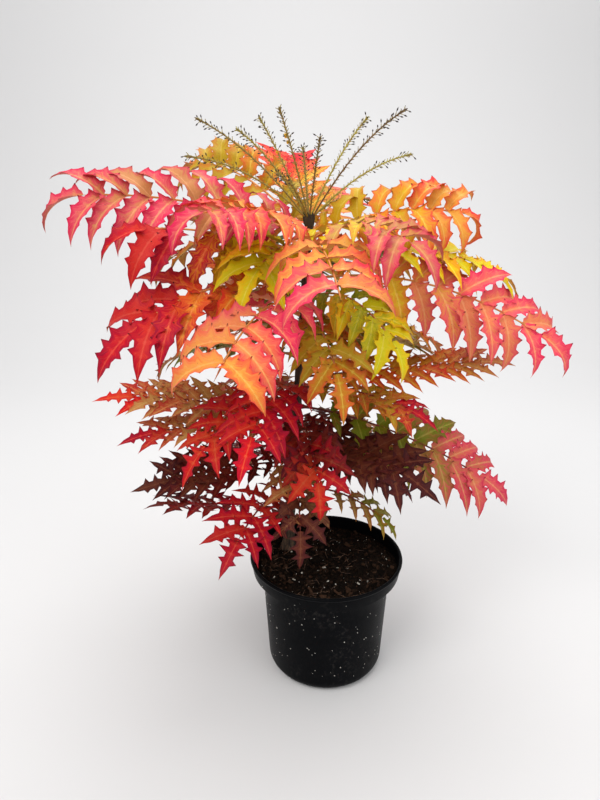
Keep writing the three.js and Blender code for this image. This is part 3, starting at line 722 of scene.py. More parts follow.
# The shares of a leaf's relief, and its heights in metres
LEAF_RELIEF = Values(veins=0.7, net=0.35, upper=0.00016, under=0.00022)
LEAF_ROUGH = Values(under=0.62, upper=0.32, streaks=0.22)
LEAF_BACK_PALE = 0.22
RIB_TURNS = (0.33, 0.47)  # the heights, in metres, between which ribs turn from red to peach
RIB_WANDER = 0.12
BARK_STRETCH = (260.0, 260.0, 38.0)
BARK_GRAIN = 0.3
PLASTIC_ROUGH = Values(clean=0.36, dirt=0.25)
DUST_LEAST = 0.06
CRUMB_TONES = Values(draw=0.7, dark=0.35)
STALK_SPECKS = 0.35


def leaf_material(frond, under):
    """The upper or under side of the leaflets of a frond that turns from one tint to another."""
    # the whorl is in the name, as each whorl has its own copy of the material with its own painted
    # shade
    name = f"{'under' if under else 'upper'} leaf {frond.whorl} {frond.inner} {frond.outer}"
    if name in bpy.data.materials:
        return bpy.data.materials[name]
    look = Look(name, LEAF_ROUGH.under, LEAF_GLOSS)
    given = {label: look.value(label) for label in LEAF_VALUES}
    uv = look.add("ShaderNodeUVMap", {}, uv_map="Leaf")
    pattern = look.use(LEAF_PATTERN, {"Leaf UV": uv, "Draw": given["Draw"]})
    given.update({label: pattern[label] for label in PATTERN_PARTS})
    for end, tint in (("Inner", frond.inner), ("Outer", frond.outer)):
        for part, colour in zip(TINT_PARTS, TINTS[tint]):
            # each whorl's tints are darkened by its painted shade
            given[f"{end} {part}"] = linear([c * PAINTED_SHADE_BY_WHORL[frond.whorl] for c in colour])
    colour = look.use(LEAF_TINT, given)["Colour"]
    height = (pattern["Veins"] * LEAF_RELIEF.veins + pattern["Net"] * LEAF_RELIEF.net
              + pattern["Midrib"])
    if under:
        colour = look.blend(LEAF_BACK_PALE, colour, "leaf back")
        return look.finish(colour, height, LEAF_RELIEF.under)
    rough = pattern["Streaks"] * LEAF_ROUGH.streaks + LEAF_ROUGH.upper
    look.put(rough, look.shader["Roughness"])
    return look.finish(colour, height * -1.0, LEAF_RELIEF.upper)


def rib_material():
    """Yellow to peach high on the plant and dark red low down, with redder nodes."""
    look = Look("leaf stalk", 0.45)
    place = look.place()
    wander = (look.noise(place, scale=14.0, detail=3.0) - 0.5) * RIB_WANDER
    up = (look.part(place, "Z") + wander).step(*RIB_TURNS)
    colour = look.blend(up, "low rib", "high rib")
    colour = look.blend(look.value("Node"), colour, "rib node", most=0.55)
    worn = look.worn(place, patches=60.0, grain=900.0)
    colour = look.blend(worn["Dirt"], colour, "rib blush", most=0.4)
    return look.finish(colour, worn["Grain"], relief=0.0001)


def bark_material():
    """Grey-brown, corky and furrowed, with pale ridges."""
    look = Look("stem bark", 0.85)
    place = look.place()
    long_way = look.add("ShaderNodeMapping", {"Vector": place, "Scale": BARK_STRETCH})
    furrow = look.noise(long_way, scale=1.0, detail=4.0, roughness=0.62, distortion=0.6)
    worn = look.worn(place, patches=55.0, grain=1500.0)
    colour = look.blend(furrow.step(0.36, 0.66), "furrow", "ridge")
    colour = look.blend(worn["Dirt"], colour, "bark dirt", most=0.5)
    return look.finish(colour, furrow + worn["Grain"] * BARK_GRAIN, relief=0.0009)


def plastic_material():
    """Black nursery-pot plastic, faintly blue, with dust dried on in patches."""
    look = Look("pot plastic", PLASTIC_ROUGH.clean, PLASTIC_GLOSS)
    place = look.place()
    worn = look.worn(place, patches=16.0, grain=1400.0)
    fine = look.worn(place, patches=210.0, grain=4000.0)
    colour = look.blend(worn["Dirt"], "plastic", "grey plastic", most=0.25)
    colour = look.blend(fine["Dirt"] * (worn["Dirt"] + DUST_LEAST), colour, "dust", most=0.2)
    rough = worn["Dirt"] * PLASTIC_ROUGH.dirt + PLASTIC_ROUGH.clean
    look.put(rough, look.shader["Roughness"])
    return look.finish(colour, worn["Grain"], relief=0.00009)


def compost_material():
    look = Look("compost", 0.95, EARTH_GLOSS)
    place = look.place()
    lump = look.noise(place, scale=130.0, detail=5.0, roughness=0.7)
    tone = look.noise(place, scale=420.0, detail=4.0, roughness=0.7)
    colour = look.blend(lump.step(0.38, 0.66), "wet peat", "peat")
    colour = look.blend(tone.step(0.60, 0.74), colour, "dry fibre")
    return look.finish(colour, lump + tone, relief=0.0016)


def crumb_material(name, dark, light, scale, roughness):
    """Bits of bark, peat or perlite, each a little different from its neighbour."""
    look = Look(name, roughness, EARTH_GLOSS)
    tone = look.noise(look.place(), scale, detail=3.0, roughness=0.6)
    amount = look.value("Draw") * CRUMB_TONES.draw + (tone - CRUMB_TONES.dark)
    return look.finish(look.blend(amount.limited(), dark, light), tone, relief=0.0005)


def spike_material():
    """Dry flower stalks: olive to straw, dark maroon in parts, with blackened bud scars."""
    look = Look("flower stalk", 0.6)
    place = look.place()
    tone = look.noise(place, scale=90.0, detail=3.0, roughness=0.6)
    colour = look.blend(look.value("Draw"), "olive stalk", "maroon stalk")
    colour = look.blend(tone.step(0.46, 0.66), colour, "straw", most=0.7)
    speck = look.noise(place, scale=620.0).step(0.58, 0.64)
    darkness = speck * STALK_SPECKS + look.value("Dark")
    colour = look.blend(darkness.limited(), colour, "bud scar")
    return look.finish(colour, tone, relief=0.0004)


def varied_material(name, dark, light, scale, roughness):
    look = Look(name, roughness)
    tone = look.noise(look.place(), scale, detail=4.0, roughness=0.6)
    return look.finish(look.blend(tone.step(0.35, 0.68), dark, light), tone, relief=0.0004)


# Leaflets

# Across a leaflet: its two edges with the midrib between them
CROSS = (1, 0, -1)
# The stations round one tooth: distance from its point along the leaflet, which TOOTH_WIDTH
# stretches, and how deep the blade is cut there, or how far its spine stands out if positive
TOOTH = ((-0.055, -0.48), (0.0, 1.0), (0.034, -0.42))
TOOTH_WIDTH = {"top": 1.1, "upper": 1.15, "middle": 1.35, "low": 1.5}  # old leaves are like holly
SPINES = {"top": 0.36, "upper": 0.40, "middle": 0.68, "low": 0.84}  # as shares of the half-width
OUTER_SPINE = 0.8  # of the spine nearest the root
SPINES_VARY = 0.5
FULLNESS = {"top": 1.25, "upper": 1.3, "middle": 1.42, "low": 1.44}  # how full a blade's sides are
TEETH = {66: (0.13, 0.30, 0.47, 0.64), 46: (0.17, 0.38, 0.60), 0: (0.24, 0.54)}  # from a length on
FIRST_STATION = (0.025, 1.0)
LAST_STATIONS = ((0.79, 0.80), (0.90, 0.55))
# fold is how far a blade is folded with little arch and with much
BLADE = Values(
    fold=(0.16, 0.42), fold_spread=0.2, little_arch=45, much_arch=90, twist=26, spine_ahead=0.018,
    ripple=(0.06, 0.2), ripples=19, left_phase=1.3, phases=6, stagger=0.03, staggered=(0.05, 0.75),
)
BAKE_MARGIN = 0.04  # of a cell of the map for baking
BAKE_COLUMNS = 3  # for each row of cells


def stations_of(leaflet):
    """Where a leaflet has a section: share of its length, width, and whether a spine ends there."""
    teeth = TEETH[max(least for least in TEETH if leaflet.length > least)]
    stations = [(*FIRST_STATION, False)]
    for number, point in enumerate(teeth):
        sharp = leaflet.spines * mix(1.0, OUTER_SPINE, number / (len(teeth) - 1))
        sharp *= around(SPINES_VARY, leaflet.draw + number * 0.19)
        for shift, depth in TOOTH:
            shifted = point + shift * TOOTH_WIDTH[leaflet.edges]
            stations.append((shifted, 1 + depth * sharp, shift == 0))
    return stations + [(*station, False) for station in LAST_STATIONS]


def blade_section(leaflet, station, fold):
    """The edge, midrib and edge of a leaflet at one station, and its keel."""
    x, width, spined = station
    draw = leaflet.draw
    sideways = leaflet.face.cross(leaflet.way)
    centre, up = leaflet.at(x)
    along = up.cross(sideways)
    turn = Matrix.Rotation(swing(radians(BLADE.twist), draw + 0.21) * x, 3, along)
    aside, lifted = turn @ sideways, turn @ up
    half = leaflet.half_width(x) * width
    ripple = mix(*BLADE.ripple, share(draw + 0.31))
    staggered_from, staggered_to = BLADE.staggered
    section = []
    for place in CROSS:
        phase = (0 if place > 0 else BLADE.left_phase) + BLADE.phases * share(draw + 0.51)
        lift = half * abs(place) * (fold + ripple * sin(x * BLADE.ripples + phase))
        shift = 0
        if staggered_from < x < staggered_to:
            shift = swing(leaflet.length * BLADE.stagger, draw + 0.41) * place
        if spined and place:
            shift += leaflet.length * BLADE.spine_ahead
        section.append(centre + aside * half * place + lifted * lift + along * shift)
    return section + [centre - lifted * LEAFLET.keel * (1 - LEAFLET.keel_taper * x)]


def blade_faces(rows, last):
    """The faces over and under a blade of so many rows of four points, from point 0 to last.

    A face that isn't flat is split from its first corner to its third. All start at the blade's
    edge, so that both sides are split alike and the lower never shows through the upper.
    """
    over, under = [], []
    right, middle, left, keel = range(1, 5)
    end = 4 * (rows - 1)
    for a, b, faces in ((right, middle, over), (middle, left, over),
                        (left, keel, under), (keel, right, under)):
        faces += [(0, b, a), (last, end + a, end + b)]
        for row in range(0, end, 4):
            face = [row + a, row + b, row + b + 4, row + a + 4]
            faces.append(tuple(face if a in (right, left) else face[1:] + face[:1]))
    return over, under


def add_leaflet(joined, maps, leaflet):
    """Adds one leaflet as a thin closed blade with spiny teeth."""
    draw = leaflet.draw
    arched = clamp((leaflet.full_arch - BLADE.little_arch)
                   / (BLADE.much_arch - BLADE.little_arch))
    fold = mix(*BLADE.fold, arched) + BLADE.fold_spread * share(draw + 0.11)
    points, spines, uvs = [leaflet.root], [0.0], [(0.5, 0.0)]
    stations = stations_of(leaflet)
    for station in stations:
        x, _, spined = station
        points += blade_section(leaflet, station, fold)
        spine = 1.0 if spined else 0.0
        spines += [spine, 0.0, spine, 0.0]
        uvs += [(1.0, x), (0.5, x), (0.0, x), (0.5, x)]
    points.append(leaflet.midrib[-1][0])
    spines.append(1.0)
    uvs.append((0.5, 1.0))
    over, under = blade_faces(len(stations), len(points) - 1)
    out = clamp(leaflet.out + swing(TURN_SPREAD, draw + 0.61))
    joined.add(points, over, 0, Draw=share(draw + 0.81), Out=out, Spine=spines)
    joined.add_faces(under, 1, len(points))
    maps.append((uvs, over, under))


def set_leaf_maps(mesh, maps):
    """The leaf's own map, and a map for baking where each side of a leaflet has its own cell."""
    rows = max(1, round(sqrt(2 * len(maps) / BAKE_COLUMNS)))
    columns = ceil(2 * len(maps) / rows)
    own = mesh.uv_layers.new(name="Leaf")
    baked = mesh.uv_layers.new(name="OFBake")
    own_places, baked_places = [], []
    sides = [(uvs, faces) for uvs, top, bottom in maps for faces in (top, bottom)]
    for cell, (uvs, faces) in enumerate(sides):
        row, column = divmod(cell, columns)
        for u, v in [uvs[corner] for face in faces for corner in face]:
            own_places += [u, v]
            baked_places += [(column + mix(BAKE_MARGIN, 1 - BAKE_MARGIN, u)) / columns,
                             (row + mix(BAKE_MARGIN, 1 - BAKE_MARGIN, v)) / rows]
    own.uv.foreach_set("vector", own_places)
    baked.uv.foreach_set("vector", baked_places)


def make_leaflets(frond, leaflets):
    joined = Joined()
    maps = []
    for leaflet in leaflets:
        add_leaflet(joined, maps, leaflet)
    mesh = joined.mesh(smooth_under=50)
    set_leaf_maps(mesh, maps)
    sides = [leaf_material(frond, under) for under in (False, True)]
    piece = new_piece(frond.name + "_leaflets", mesh, *sides)
    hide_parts(frond.name)


def make_all_leaflets(fronds):
    """The leaflets that the solids have, with small pairs near the stem where there is room."""
    leaflets = [leaflets_of(frond) for frond in fronds]
    others = [point for several in leaflets for leaflet in several
              for point, _ in leaflet.midrib[::2]]
    for frond, several in zip(fronds, leaflets):
        make_leaflets(frond, several + basal_leaflets(frond, others))


# Ribs

# A rib's base clasps the stem. Its rings stand at these shares of the rib's length.
SHEATH = Values(radius=3.4, share=0.05, depth=3.0, rings=(0.0, 0.02, 0.05, 0.09))
# Where a pair of leaflets grows: its radius in those of the rib, how far it reaches each way as
# a share of the rib's length, the radius between two pairs and at the rib's end
NODE = Values(swell=1.4, half=0.011, between=0.94, end=0.8)
NODE_RED = Values(most=1.6, fades_over=2.2)


def rib_rings(frond):
    """Rings along a rib: a clasping base, then a swelling at each pair of leaflets."""
    curve = frond.curve
    marks = dict.fromkeys(SHEATH.rings, 1.0)
    nodes = [frond.place(node) for node in range(frond.pairs + 1)]
    for t in nodes[:-1]:
        marks.update({t - NODE.half: 1.0, t: NODE.swell, t + NODE.half: 1.0})
    for before, after in zip([SHEATH.rings[-1], *nodes], nodes):
        marks[(before + after) / 2] = NODE.between
    marks[1.0] = NODE.end
    rings = [(curve.root - frond.outward * SHEATH.depth, frond.outward, SHEATH.radius)]
    for t in sorted(marks):
        radius = mix(RIB.root, RIB.tip, sqrt(t)) * marks[t]
        clasp = max(0.0, 1 - t / SHEATH.share) ** 2
        along = frond.outward if t == 0 else curve.along(t)
        rings.append((curve.at(t), along, mix(radius, SHEATH.radius, clasp)))
    return rings, nodes


def make_ribs(whorl, fronds, material):
    """The ribs of a whorl, with a value for how near each vertex is to a node, which is redder."""
    bm = bmesh.new()
    layer = bm.verts.layers.float.new("Node")
    for frond in fronds:
        start = len(bm.verts)
        rings, nodes = rib_rings(frond)
        grow_limb(bm, rings, sides=8)
        spots = kdtree.KDTree(len(nodes))
        for number, t in enumerate(nodes):
            spots.insert(frond.curve.at(t) * MM, number)
        spots.balance()
        bm.verts.ensure_lookup_table()
        for vertex in bm.verts[start:]:
            away = spots.find(vertex.co)[2] / MM
            vertex[layer] = clamp(NODE_RED.most - away / NODE_RED.fades_over)
    piece = new_piece(f"ribs_{whorl}", mesh_from(bm, smooth_under=60), material)


# Stem

BARK = Values(rings=150, crowding=1.1, sides=28, sunk=2, past_end=0.2, inset=0.15)
SCARS = Values(height=0.35, apart=13.0, sharpness=8, wander=2, wander_scale=0.02)
# Ridges and knobs: how high they are, and how many there are round the stem and along it
RELIEFS = ((0.55, 3.2, 0.045), (0.35, 1.2, 0.11))
BUTTRESSES = Values(count=5, out=1.6, height=12.0, turn=0.7)
NEAR_AXIS = 0.1


def make_stem(material):
    """The stem with its furrows, the rings that old leaves left, and a flared foot."""
    bm = bmesh.new()
    rings = []
    for ring in range(BARK.rings + 1):
        upward = (ring / BARK.rings) ** BARK.crowding
        z = mix(SOIL_TOP - BARK.sunk, STEM_TOP + BARK.past_end, upward)
        wander = SCARS.wander * noise.noise(Vector((0, 0, z * SCARS.wander_scale)))
        scar = max(0.0, cos(z * 2 * pi / SCARS.apart + wander)) ** SCARS.sharpness
        rings.append((stem_at(z), UP, stem_radius(z) + SCARS.height * scar - BARK.inset))
    grow_limb(bm, rings, BARK.sides, pointed=False)
    for vertex in bm.verts:
        place = vertex.co / MM
        axis = stem_at(clamp(place.z, SOIL_TOP, STEM_TOP))
        aside = Vector((place.x - axis.x, place.y - axis.y, 0))
        if aside.length < NEAR_AXIS:
            continue
        angle = atan2(aside.y, aside.x)
        out = sum(height * noise.noise(Vector((cos(angle) * round_it, sin(angle) * round_it,
                                               place.z * along_it)))
                  for height, round_it, along_it in RELIEFS)
        foot = exp(-(place.z - SOIL_TOP) / BUTTRESSES.height)
        out += foot * BUTTRESSES.out * cos(BUTTRESSES.count * angle + BUTTRESSES.turn)
        vertex.co += aside.normalized() * out * MM
    piece = new_piece("stem_bark", mesh_from(bm, smooth_under=60), material)
    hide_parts("stem")


# Flower head

# Rows of bud scales: height over the cup's foot, radius of the row and length of its scales
SCALE_ROWS = ((0.0, 5.0, 12.0), (3.0, 5.8, 12.5), (6.0, 5.6, 12.0))
# A scale from its base up: half-width, way out, and share of its length. Its tip is a point.
SCALE = ((2.4, 0.0, 0.0), (2.9, 1.2, 0.3), (2.1, 1.9, 0.66))
SCALE_TIP = (2.7, 1.0)
# Round a scale's section: share of the half-width, and way out
SCALE_SECTION = ((1, -0.9), (0, 0.5), (-1, -0.9), (0, -1.1))
SCALES = Values(in_row=7, row_turn=26, sunk=3, inset=1.2, tones=0.1, draws=9)
# How far each spike is on the way from olive to maroon
SPIKE_TONES = (0.55, 0.35, 0.2, 0.3, 0.5, 0.75, 0.0, 0.85, 0.1, 0.3, 0.5, 0.5)
STALK = Values(
    rings=44, sides=7, slimness=0.8, knots=0.14, knot_turn=2.4, tip_bulge=0.5, bulge_from=0.9,
    bulge_grows=0.06, bulge_ends=0.02, dark_from=0.86, darkens=4,
)
SPURS = Values(
    count=74, run=(0.13, 0.985), crowding=0.9, turn=137.5, turn_of_next_spike=40, off=0.5,
    lean=(0.5, 1.1), length=(2.6, 5.0), radius=0.6, tone=0.6, buds_from=0.55, bare=0.5, bud_at=0.7,
    bud_length=(3.2, 5.6), bud_radius=0.8, hang=0.4, scar_length=1.4, draws=101, bract_back=0.4,
    bract_lean=0.3, bract_length=2.0, bract_radius=0.65,
)
# The last flowers: spike, place along it, size, and the side on which it hangs
LAST_FLOWERS = ((4, 0.72, 1.0, 1), (4, 0.66, 0.8, 1), (3, 0.6, 0.7, -1))
PETAL_RINGS = ((6, 3.2, 1.3), (5, 2.4, 1.1))  # count, length and half-width of the petals
FLOWER = Values(hang=0.25, out=2.4, cup=0.7)


def add_bud_scales(joined):
    """The cup: rows of pointed, overlapping dark scales round the stem's end."""
    foot = stem_at(STEM_TOP) + UP * (CLEAR - SCALES.sunk)
    corners = len(SCALE_SECTION)
    tip = corners * len(SCALE)
    faces = []
    for start in range(0, tip, corners):
        for c in range(corners):
            here, after = start + c, start + (c + 1) % corners
            if start + corners < tip:
                faces.append((here, after, after + corners, here + corners))
            else:
                faces.append((here, after, tip))
    faces.append(tuple(reversed(range(corners))))
    for row, (height, radius, length) in enumerate(SCALE_ROWS):
        for number in range(SCALES.in_row):
            outward = heading(number * 360 / SCALES.in_row + row * SCALES.row_turn)
            aside = UP.cross(outward)
            base = foot + UP * height + outward * (radius - SCALES.inset)
            points = [base + outward * (out + past) + UP * length * up + aside * wide * across
                      for wide, out, up in SCALE for across, past in SCALE_SECTION]
            tip_out, tip_up = SCALE_TIP
            points.append(base + outward * tip_out + UP * length * tip_up)
            dark = 1.0 - SCALES.tones * share(row * SCALES.draws + number)
            joined.add(points, faces, 0, Draw=0.5, Dark=dark)


def grow_stalk(bm, curve, index):
    """The stalk of a spike: knotted, with crowded buds that darken its tip."""
    first = len(bm.verts)
    rings = []
    for ring in range(STALK.rings + 1):
        t = ring / STALK.rings
        knot = STALK.knots * cos(ring * STALK.knot_turn)
        bulge = clamp((t - STALK.bulge_from) / STALK.bulge_grows)
        bulge *= STALK.tip_bulge * clamp((1 - t) / STALK.bulge_ends)
        radius = STALK.slimness * mix(SPIKE.root, SPIKE.waist, t) * (1 + knot) + bulge
        rings.append((curve.at(t), UP if ring == 0 else curve.along(t), radius))
    grow_limb(bm, rings, STALK.sides)
    bm.verts.ensure_lookup_table()
    draw, dark = bm.verts.layers.float["Draw"], bm.verts.layers.float["Dark"]
    for vertex in bm.verts[first:]:
        away = (vertex.co / MM - curve.root).length / (curve.end - curve.root).length
        vertex[draw] = SPIKE_TONES[index]
        vertex[dark] = clamp((away - STALK.dark_from) * STALK.darkens)


def add_spur(joined, curve, index, number):
    """A small stalk that a flower fell from, on its bract, with a dark bud or scar at its end."""

    def add_part(place, way, length, radius, waist=0.5, sides=4, tone=1.0, dark=0.0):
        joined.add(*spindle(place, way.normalized(), length, radius, waist, sides),
                   Draw=SPIKE_TONES[index] * tone, Dark=dark)

    draw = index * SPURS.draws + number
    t = mix(*SPURS.run, (number / SPURS.count) ** SPURS.crowding)
    along = curve.along(t)
    side = along.cross(UP).normalized()
    turn = radians(SPURS.turn * number + SPURS.turn_of_next_spike * index)
    off = side * cos(turn) + side.cross(along) * sin(turn)
    lean = (off + along * mix(*SPURS.lean, share(draw + 0.2))).normalized()
    foot = curve.at(t) + off * SPURS.off
    length = mix(*SPURS.length, share(draw))
    add_part(foot, lean, length, SPURS.radius, tone=SPURS.tone)
    add_part(foot - along * SPURS.bract_back, lean + along * SPURS.bract_lean,
             SPURS.bract_length, SPURS.bract_radius, waist=0.4, tone=SPURS.tone, dark=0.25)
    hang = lean - UP * SPURS.hang * share(draw + 0.6)
    end = foot + lean * length * SPURS.bud_at
    if t > SPURS.buds_from and share(draw + 0.4) > SPURS.bare:
        bud = mix(*SPURS.bud_length, share(draw + 0.8))
        add_part(end, hang, bud, SPURS.bud_radius, waist=0.6, sides=5, dark=0.95)
    else:
        add_part(end, hang, SPURS.scar_length, SPURS.radius, dark=0.6)


def add_spike(bm, joined, row, index):
    """One spent flower spike. Its curve is returned."""
    way, reach, rise, crown, start = row
    outward = heading(way)
    root = CUP_MOUTH + outward * start * (CUP.mouth - SPIKE.root) - UP * SPIKE.sink
    curve = Arch(root, CUP_MOUTH + outward * reach + UP * rise, crown)
    grow_stalk(bm, curve, index)
    for number in range(SPURS.count):
        add_spur(joined, curve, index, number)
    return curve


def make_flower_head():
    stalk = spike_material()
    bm = bmesh.new()
    for value in ("Draw", "Dark"):
        bm.verts.layers.float.new(value)
    joined = Joined()
    curves = [add_spike(bm, joined, row, index) for index, row in enumerate(SPIKES)]
    add_bud_scales(joined)
    stalks = new_piece("flower_stalks", mesh_from(bm, smooth_under=60), stalk)
    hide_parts("flower_head")
    small = new_piece("flower_scars_and_scales", joined.mesh(smooth_under=50), stalk)
    make_last_flowers(curves)


def make_last_flowers(curves):
    """The few small yellow flowers that still hang on."""
    joined = Joined()
    for spike, t, size, way in LAST_FLOWERS:
        along = curves[spike].along(t)
        out = (along.cross(UP).normalized() * way - UP * FLOWER.hang).normalized()
        centre = curves[spike].at(t) + out * FLOWER.out
        for ring, (count, reach, width) in enumerate(PETAL_RINGS):
            for number in range(count):
                turn = 2 * pi * (number + 0.5 * ring) / count
                away = along * cos(turn) + along.cross(out) * sin(turn) + out * FLOWER.cup
                joined.add(*spindle(centre - out, away.normalized(), reach * size, width * size,
                                    waist=0.6, sides=6))
    petal = varied_material("flower petal", (0.86, 0.62, 0.06), (0.97, 0.82, 0.20), 300.0, 0.5)
    piece = new_piece("last_flowers", joined.mesh(smooth_under=40), petal)


# Pot and compost

POT = Values(
    height=152, rim=95, collar_height=19, collar_foot=92, body_top=80, body_foot=73.5,
    foot_height=14, foot=60, wall=1.8,
)
COLLAR_FOOT = POT.height - POT.collar_height
BODY_END = COLLAR_FOOT - 3
LATHE_STEPS = 120
SAME_POINT = 0.01
ROUNDING = range(10, 91, 10)  # the angles of a rounded corner
SIDE_STEPS = 5
SOIL_RADIUS = POT.collar_foot - POT.wall - 0.3
SOIL_RINGS = 34
# The compost's side, a little inside the pot's wall
SOIL_SIDE = [
    (SOIL_RADIUS - 0.6, COLLAR_FOOT + 2.6), (POT.body_top - 2.6, COLLAR_FOOT + 1.8),
    (POT.body_foot - 2.6, POT.foot_height), (POT.foot - 1, POT.wall + 0.4),
    (0, POT.wall + 0.4),
]
SOIL = Values(sunk=1.2, mound=2.0, mound_width=16, top_within=0.1)
# Lumps in the compost's top: how high and how close they are, and their level in the noise
SOIL_LUMPS = ((2.4, 0.055, 0), (1.3, 0.16, 9), (0.7, 0.5, 20))
# Loose grains: name, count, first draw, half-lengths, dark and light colour, grain, roughness
CRUMBS = (
    ("peat_crumbs", 1700, 3.1, (0.5, 1.8), (0.04, 0.03, 0.025), (0.16, 0.12, 0.09), 300.0, 0.95),
    ("bark_chips", 380, 71.3, (0.8, 2.6), (0.08, 0.05, 0.04), (0.28, 0.20, 0.15), 400.0, 0.85),
    ("perlite_grains", 110, 207.7, (0.4, 1.1), (0.66, 0.64, 0.58), (0.92, 0.91, 0.88), 500.0, 0.9),
)
CHUNK = Values(least=0.6, more=0.5, tilt=2.2, lies=0.25, longer=1.3, flatness=(0.4, 0.9))
ROOTLETS = Values(
    count=60, first=900, from_edge=14, rings=6, over=0.5, arch=0.8, radius=0.35, bend=0.7, step=2.4,
)
SPECKS = Values(
    count=240, first=1300, heights=(16, POT.height - 6), past_step=3, sizes=(0.25, 0.7), out=0.1,
    thick=0.35,
)


def lathe(bm, profile):
    """Spins a profile of (radius, height) round the pot's axis."""
    verts = [bm.verts.new((radius * MM, 0, z * MM)) for radius, z in profile]
    edges = [bm.edges.new(pair) for pair in zip(verts, verts[1:])]
    bmesh.ops.spin(bm, geom=verts + edges, cent=(0, 0, 0), axis=(0, 0, 1), angle=2 * pi,
                   steps=LATHE_STEPS, use_merge=True)
    bmesh.ops.remove_doubles(bm, verts=bm.verts, dist=SAME_POINT * MM)


def arc(centre, radius, start, end, steps):
    angles = [radians(mix(start, end, s / steps)) for s in range(steps + 1)]
    return [(centre[0] + radius * cos(angle), centre[1] + radius * sin(angle)) for angle in angles]


# The pot's wall all round its section, as (radius, height)
UNDERSIDE = [(0, 0.6), (44, 0.6), (46, 0.0), (POT.foot, 0.0)]
ROUNDED = [(POT.foot + (POT.body_foot - POT.foot) * sin(radians(angle)),
            POT.foot_height * (1 - cos(radians(angle)))) for angle in ROUNDING]
SIDE = [(mix(POT.body_foot, POT.body_top, s / SIDE_STEPS),
         mix(POT.foot_height, BODY_END, s / SIDE_STEPS)) for s in range(1, SIDE_STEPS + 1)]
STEP = [(POT.body_top + 0.5, COLLAR_FOOT - 1.6), (POT.body_top + 2.2, COLLAR_FOOT - 0.5),
        (POT.collar_foot - 1.2, COLLAR_FOOT)]
COLLAR = [(POT.collar_foot, COLLAR_FOOT + 0.8), (POT.collar_foot + 0.3, COLLAR_FOOT + 2.6),
          ((POT.collar_foot + POT.rim) / 2, COLLAR_FOOT + 9.5),
          (POT.rim - 1.1, POT.height - 5.2), (POT.rim - 1.0, POT.height - 4.6)]
LIP = arc((POT.rim - 1.5, POT.height - 2.1), 2.1, -60, 180, 8)
INSIDE = [(POT.rim - 3.6, POT.height - 5), (POT.collar_foot - POT.wall, COLLAR_FOOT + 2.2),
          (POT.collar_foot - 3.6, COLLAR_FOOT + 1.4), (POT.body_top - 1, COLLAR_FOOT + 0.8),
          (POT.body_top - POT.wall, COLLAR_FOOT - 2),
          (POT.body_foot - POT.wall, POT.foot_height), (POT.foot, POT.wall),
          (0, POT.wall)]


def make_pot(material):
    """A thin moulded wall: rounded foot, straight side, stepped collar and a rolled lip."""
    bm = bmesh.new()
    lathe(bm, UNDERSIDE + ROUNDED + SIDE + STEP + COLLAR + LIP + INSIDE)
    piece = new_piece("pot_wall", mesh_from(bm, smooth_under=35), material)
    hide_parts("pot")


def soil_height(x, y):
    """The lumpy top of the compost, in millimetres, a little higher round the stem."""
    lumps = sum(noise.noise(Vector((x, y, level)) * close) * height
                for height, close, level in SOIL_LUMPS)
    stem_x, stem_y, _ = STEM.path[0]
    away = sqrt((x - stem_x) ** 2 + (y - stem_y) ** 2)
    return SOIL_TOP - SOIL.sunk + lumps + SOIL.mound * exp(-away / SOIL.mound_width)


def make_compost(material):
    profile = [(SOIL_RADIUS * s / SOIL_RINGS, SOIL_TOP) for s in range(SOIL_RINGS + 1)]
    bm = bmesh.new()
    lathe(bm, profile + SOIL_SIDE)
    for vertex in bm.verts:
        if vertex.co.z > (SOIL_TOP - SOIL.top_within) * MM:
            vertex.co.z = soil_height(vertex.co.x / MM, vertex.co.y / MM) * MM
    piece = new_piece("compost_bed", mesh_from(bm, smooth_under=80), material)
    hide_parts("compost")


def chunk(centre, sizes, turn, seed):
    """A rough lump: a box whose corners are each pushed about."""
    points = []
    for corner in range(8):
        signs = [1 if corner >> axis & 1 else -1 for axis in range(3)]
        pushes = [CHUNK.least + CHUNK.more * share(seed + corner * 3.3 + axis)
                  for axis in range(3)]
        point = Vector([sign * size * push for sign, size, push in zip(signs, sizes, pushes)])
        points.append(centre + turn @ point)
    faces = [(0, 2, 3, 1), (4, 5, 7, 6), (0, 1, 5, 4), (2, 6, 7, 3), (0, 4, 6, 2), (1, 3, 7, 5)]
    return points, faces


def random_turn(seed):
    return (Matrix.Rotation(2 * pi * share(seed), 3, "Z")
            @ Matrix.Rotation(swing(CHUNK.tilt, seed + 0.3), 3, "X")
            @ Matrix.Rotation(swing(CHUNK.tilt, seed + 0.6), 3, "Y"))


def place_within(radius, draw, turn_draw):
    """A steady pseudo-random place in a disc."""
    away = radius * sqrt(share(draw))
    angle = 2 * pi * share(turn_draw)
    return away * cos(angle), away * sin(angle)


def make_crumbs():
    """Lumps strewn over the compost, sunk a little in it. A lump is long, less wide and flat."""
    for name, count, seed, sizes, dark, light, grain, roughness in CRUMBS:
        joined = Joined()
        for number in range(count):
            draw = seed + number * 1.7
            x, y = place_within(SOIL_RADIUS - sizes[1] - 1, draw, draw + 0.5)
            size = mix(*sizes, share(draw + 0.9) ** 3)
            long = size * (1 + CHUNK.longer * share(draw + 1.1))
            flat = size * mix(*CHUNK.flatness, share(draw + 1.3))
            centre = Vector((x, y, soil_height(x, y) + size * CHUNK.lies))
            points, faces = chunk(centre, (long, size, flat), random_turn(draw), draw)
            joined.add(points, faces, Draw=share(draw + 1.5))
        material = crumb_material(name.replace("_", " "), dark, light, grain, roughness)
        piece = new_piece(name, joined.mesh(smooth_under=30), material)


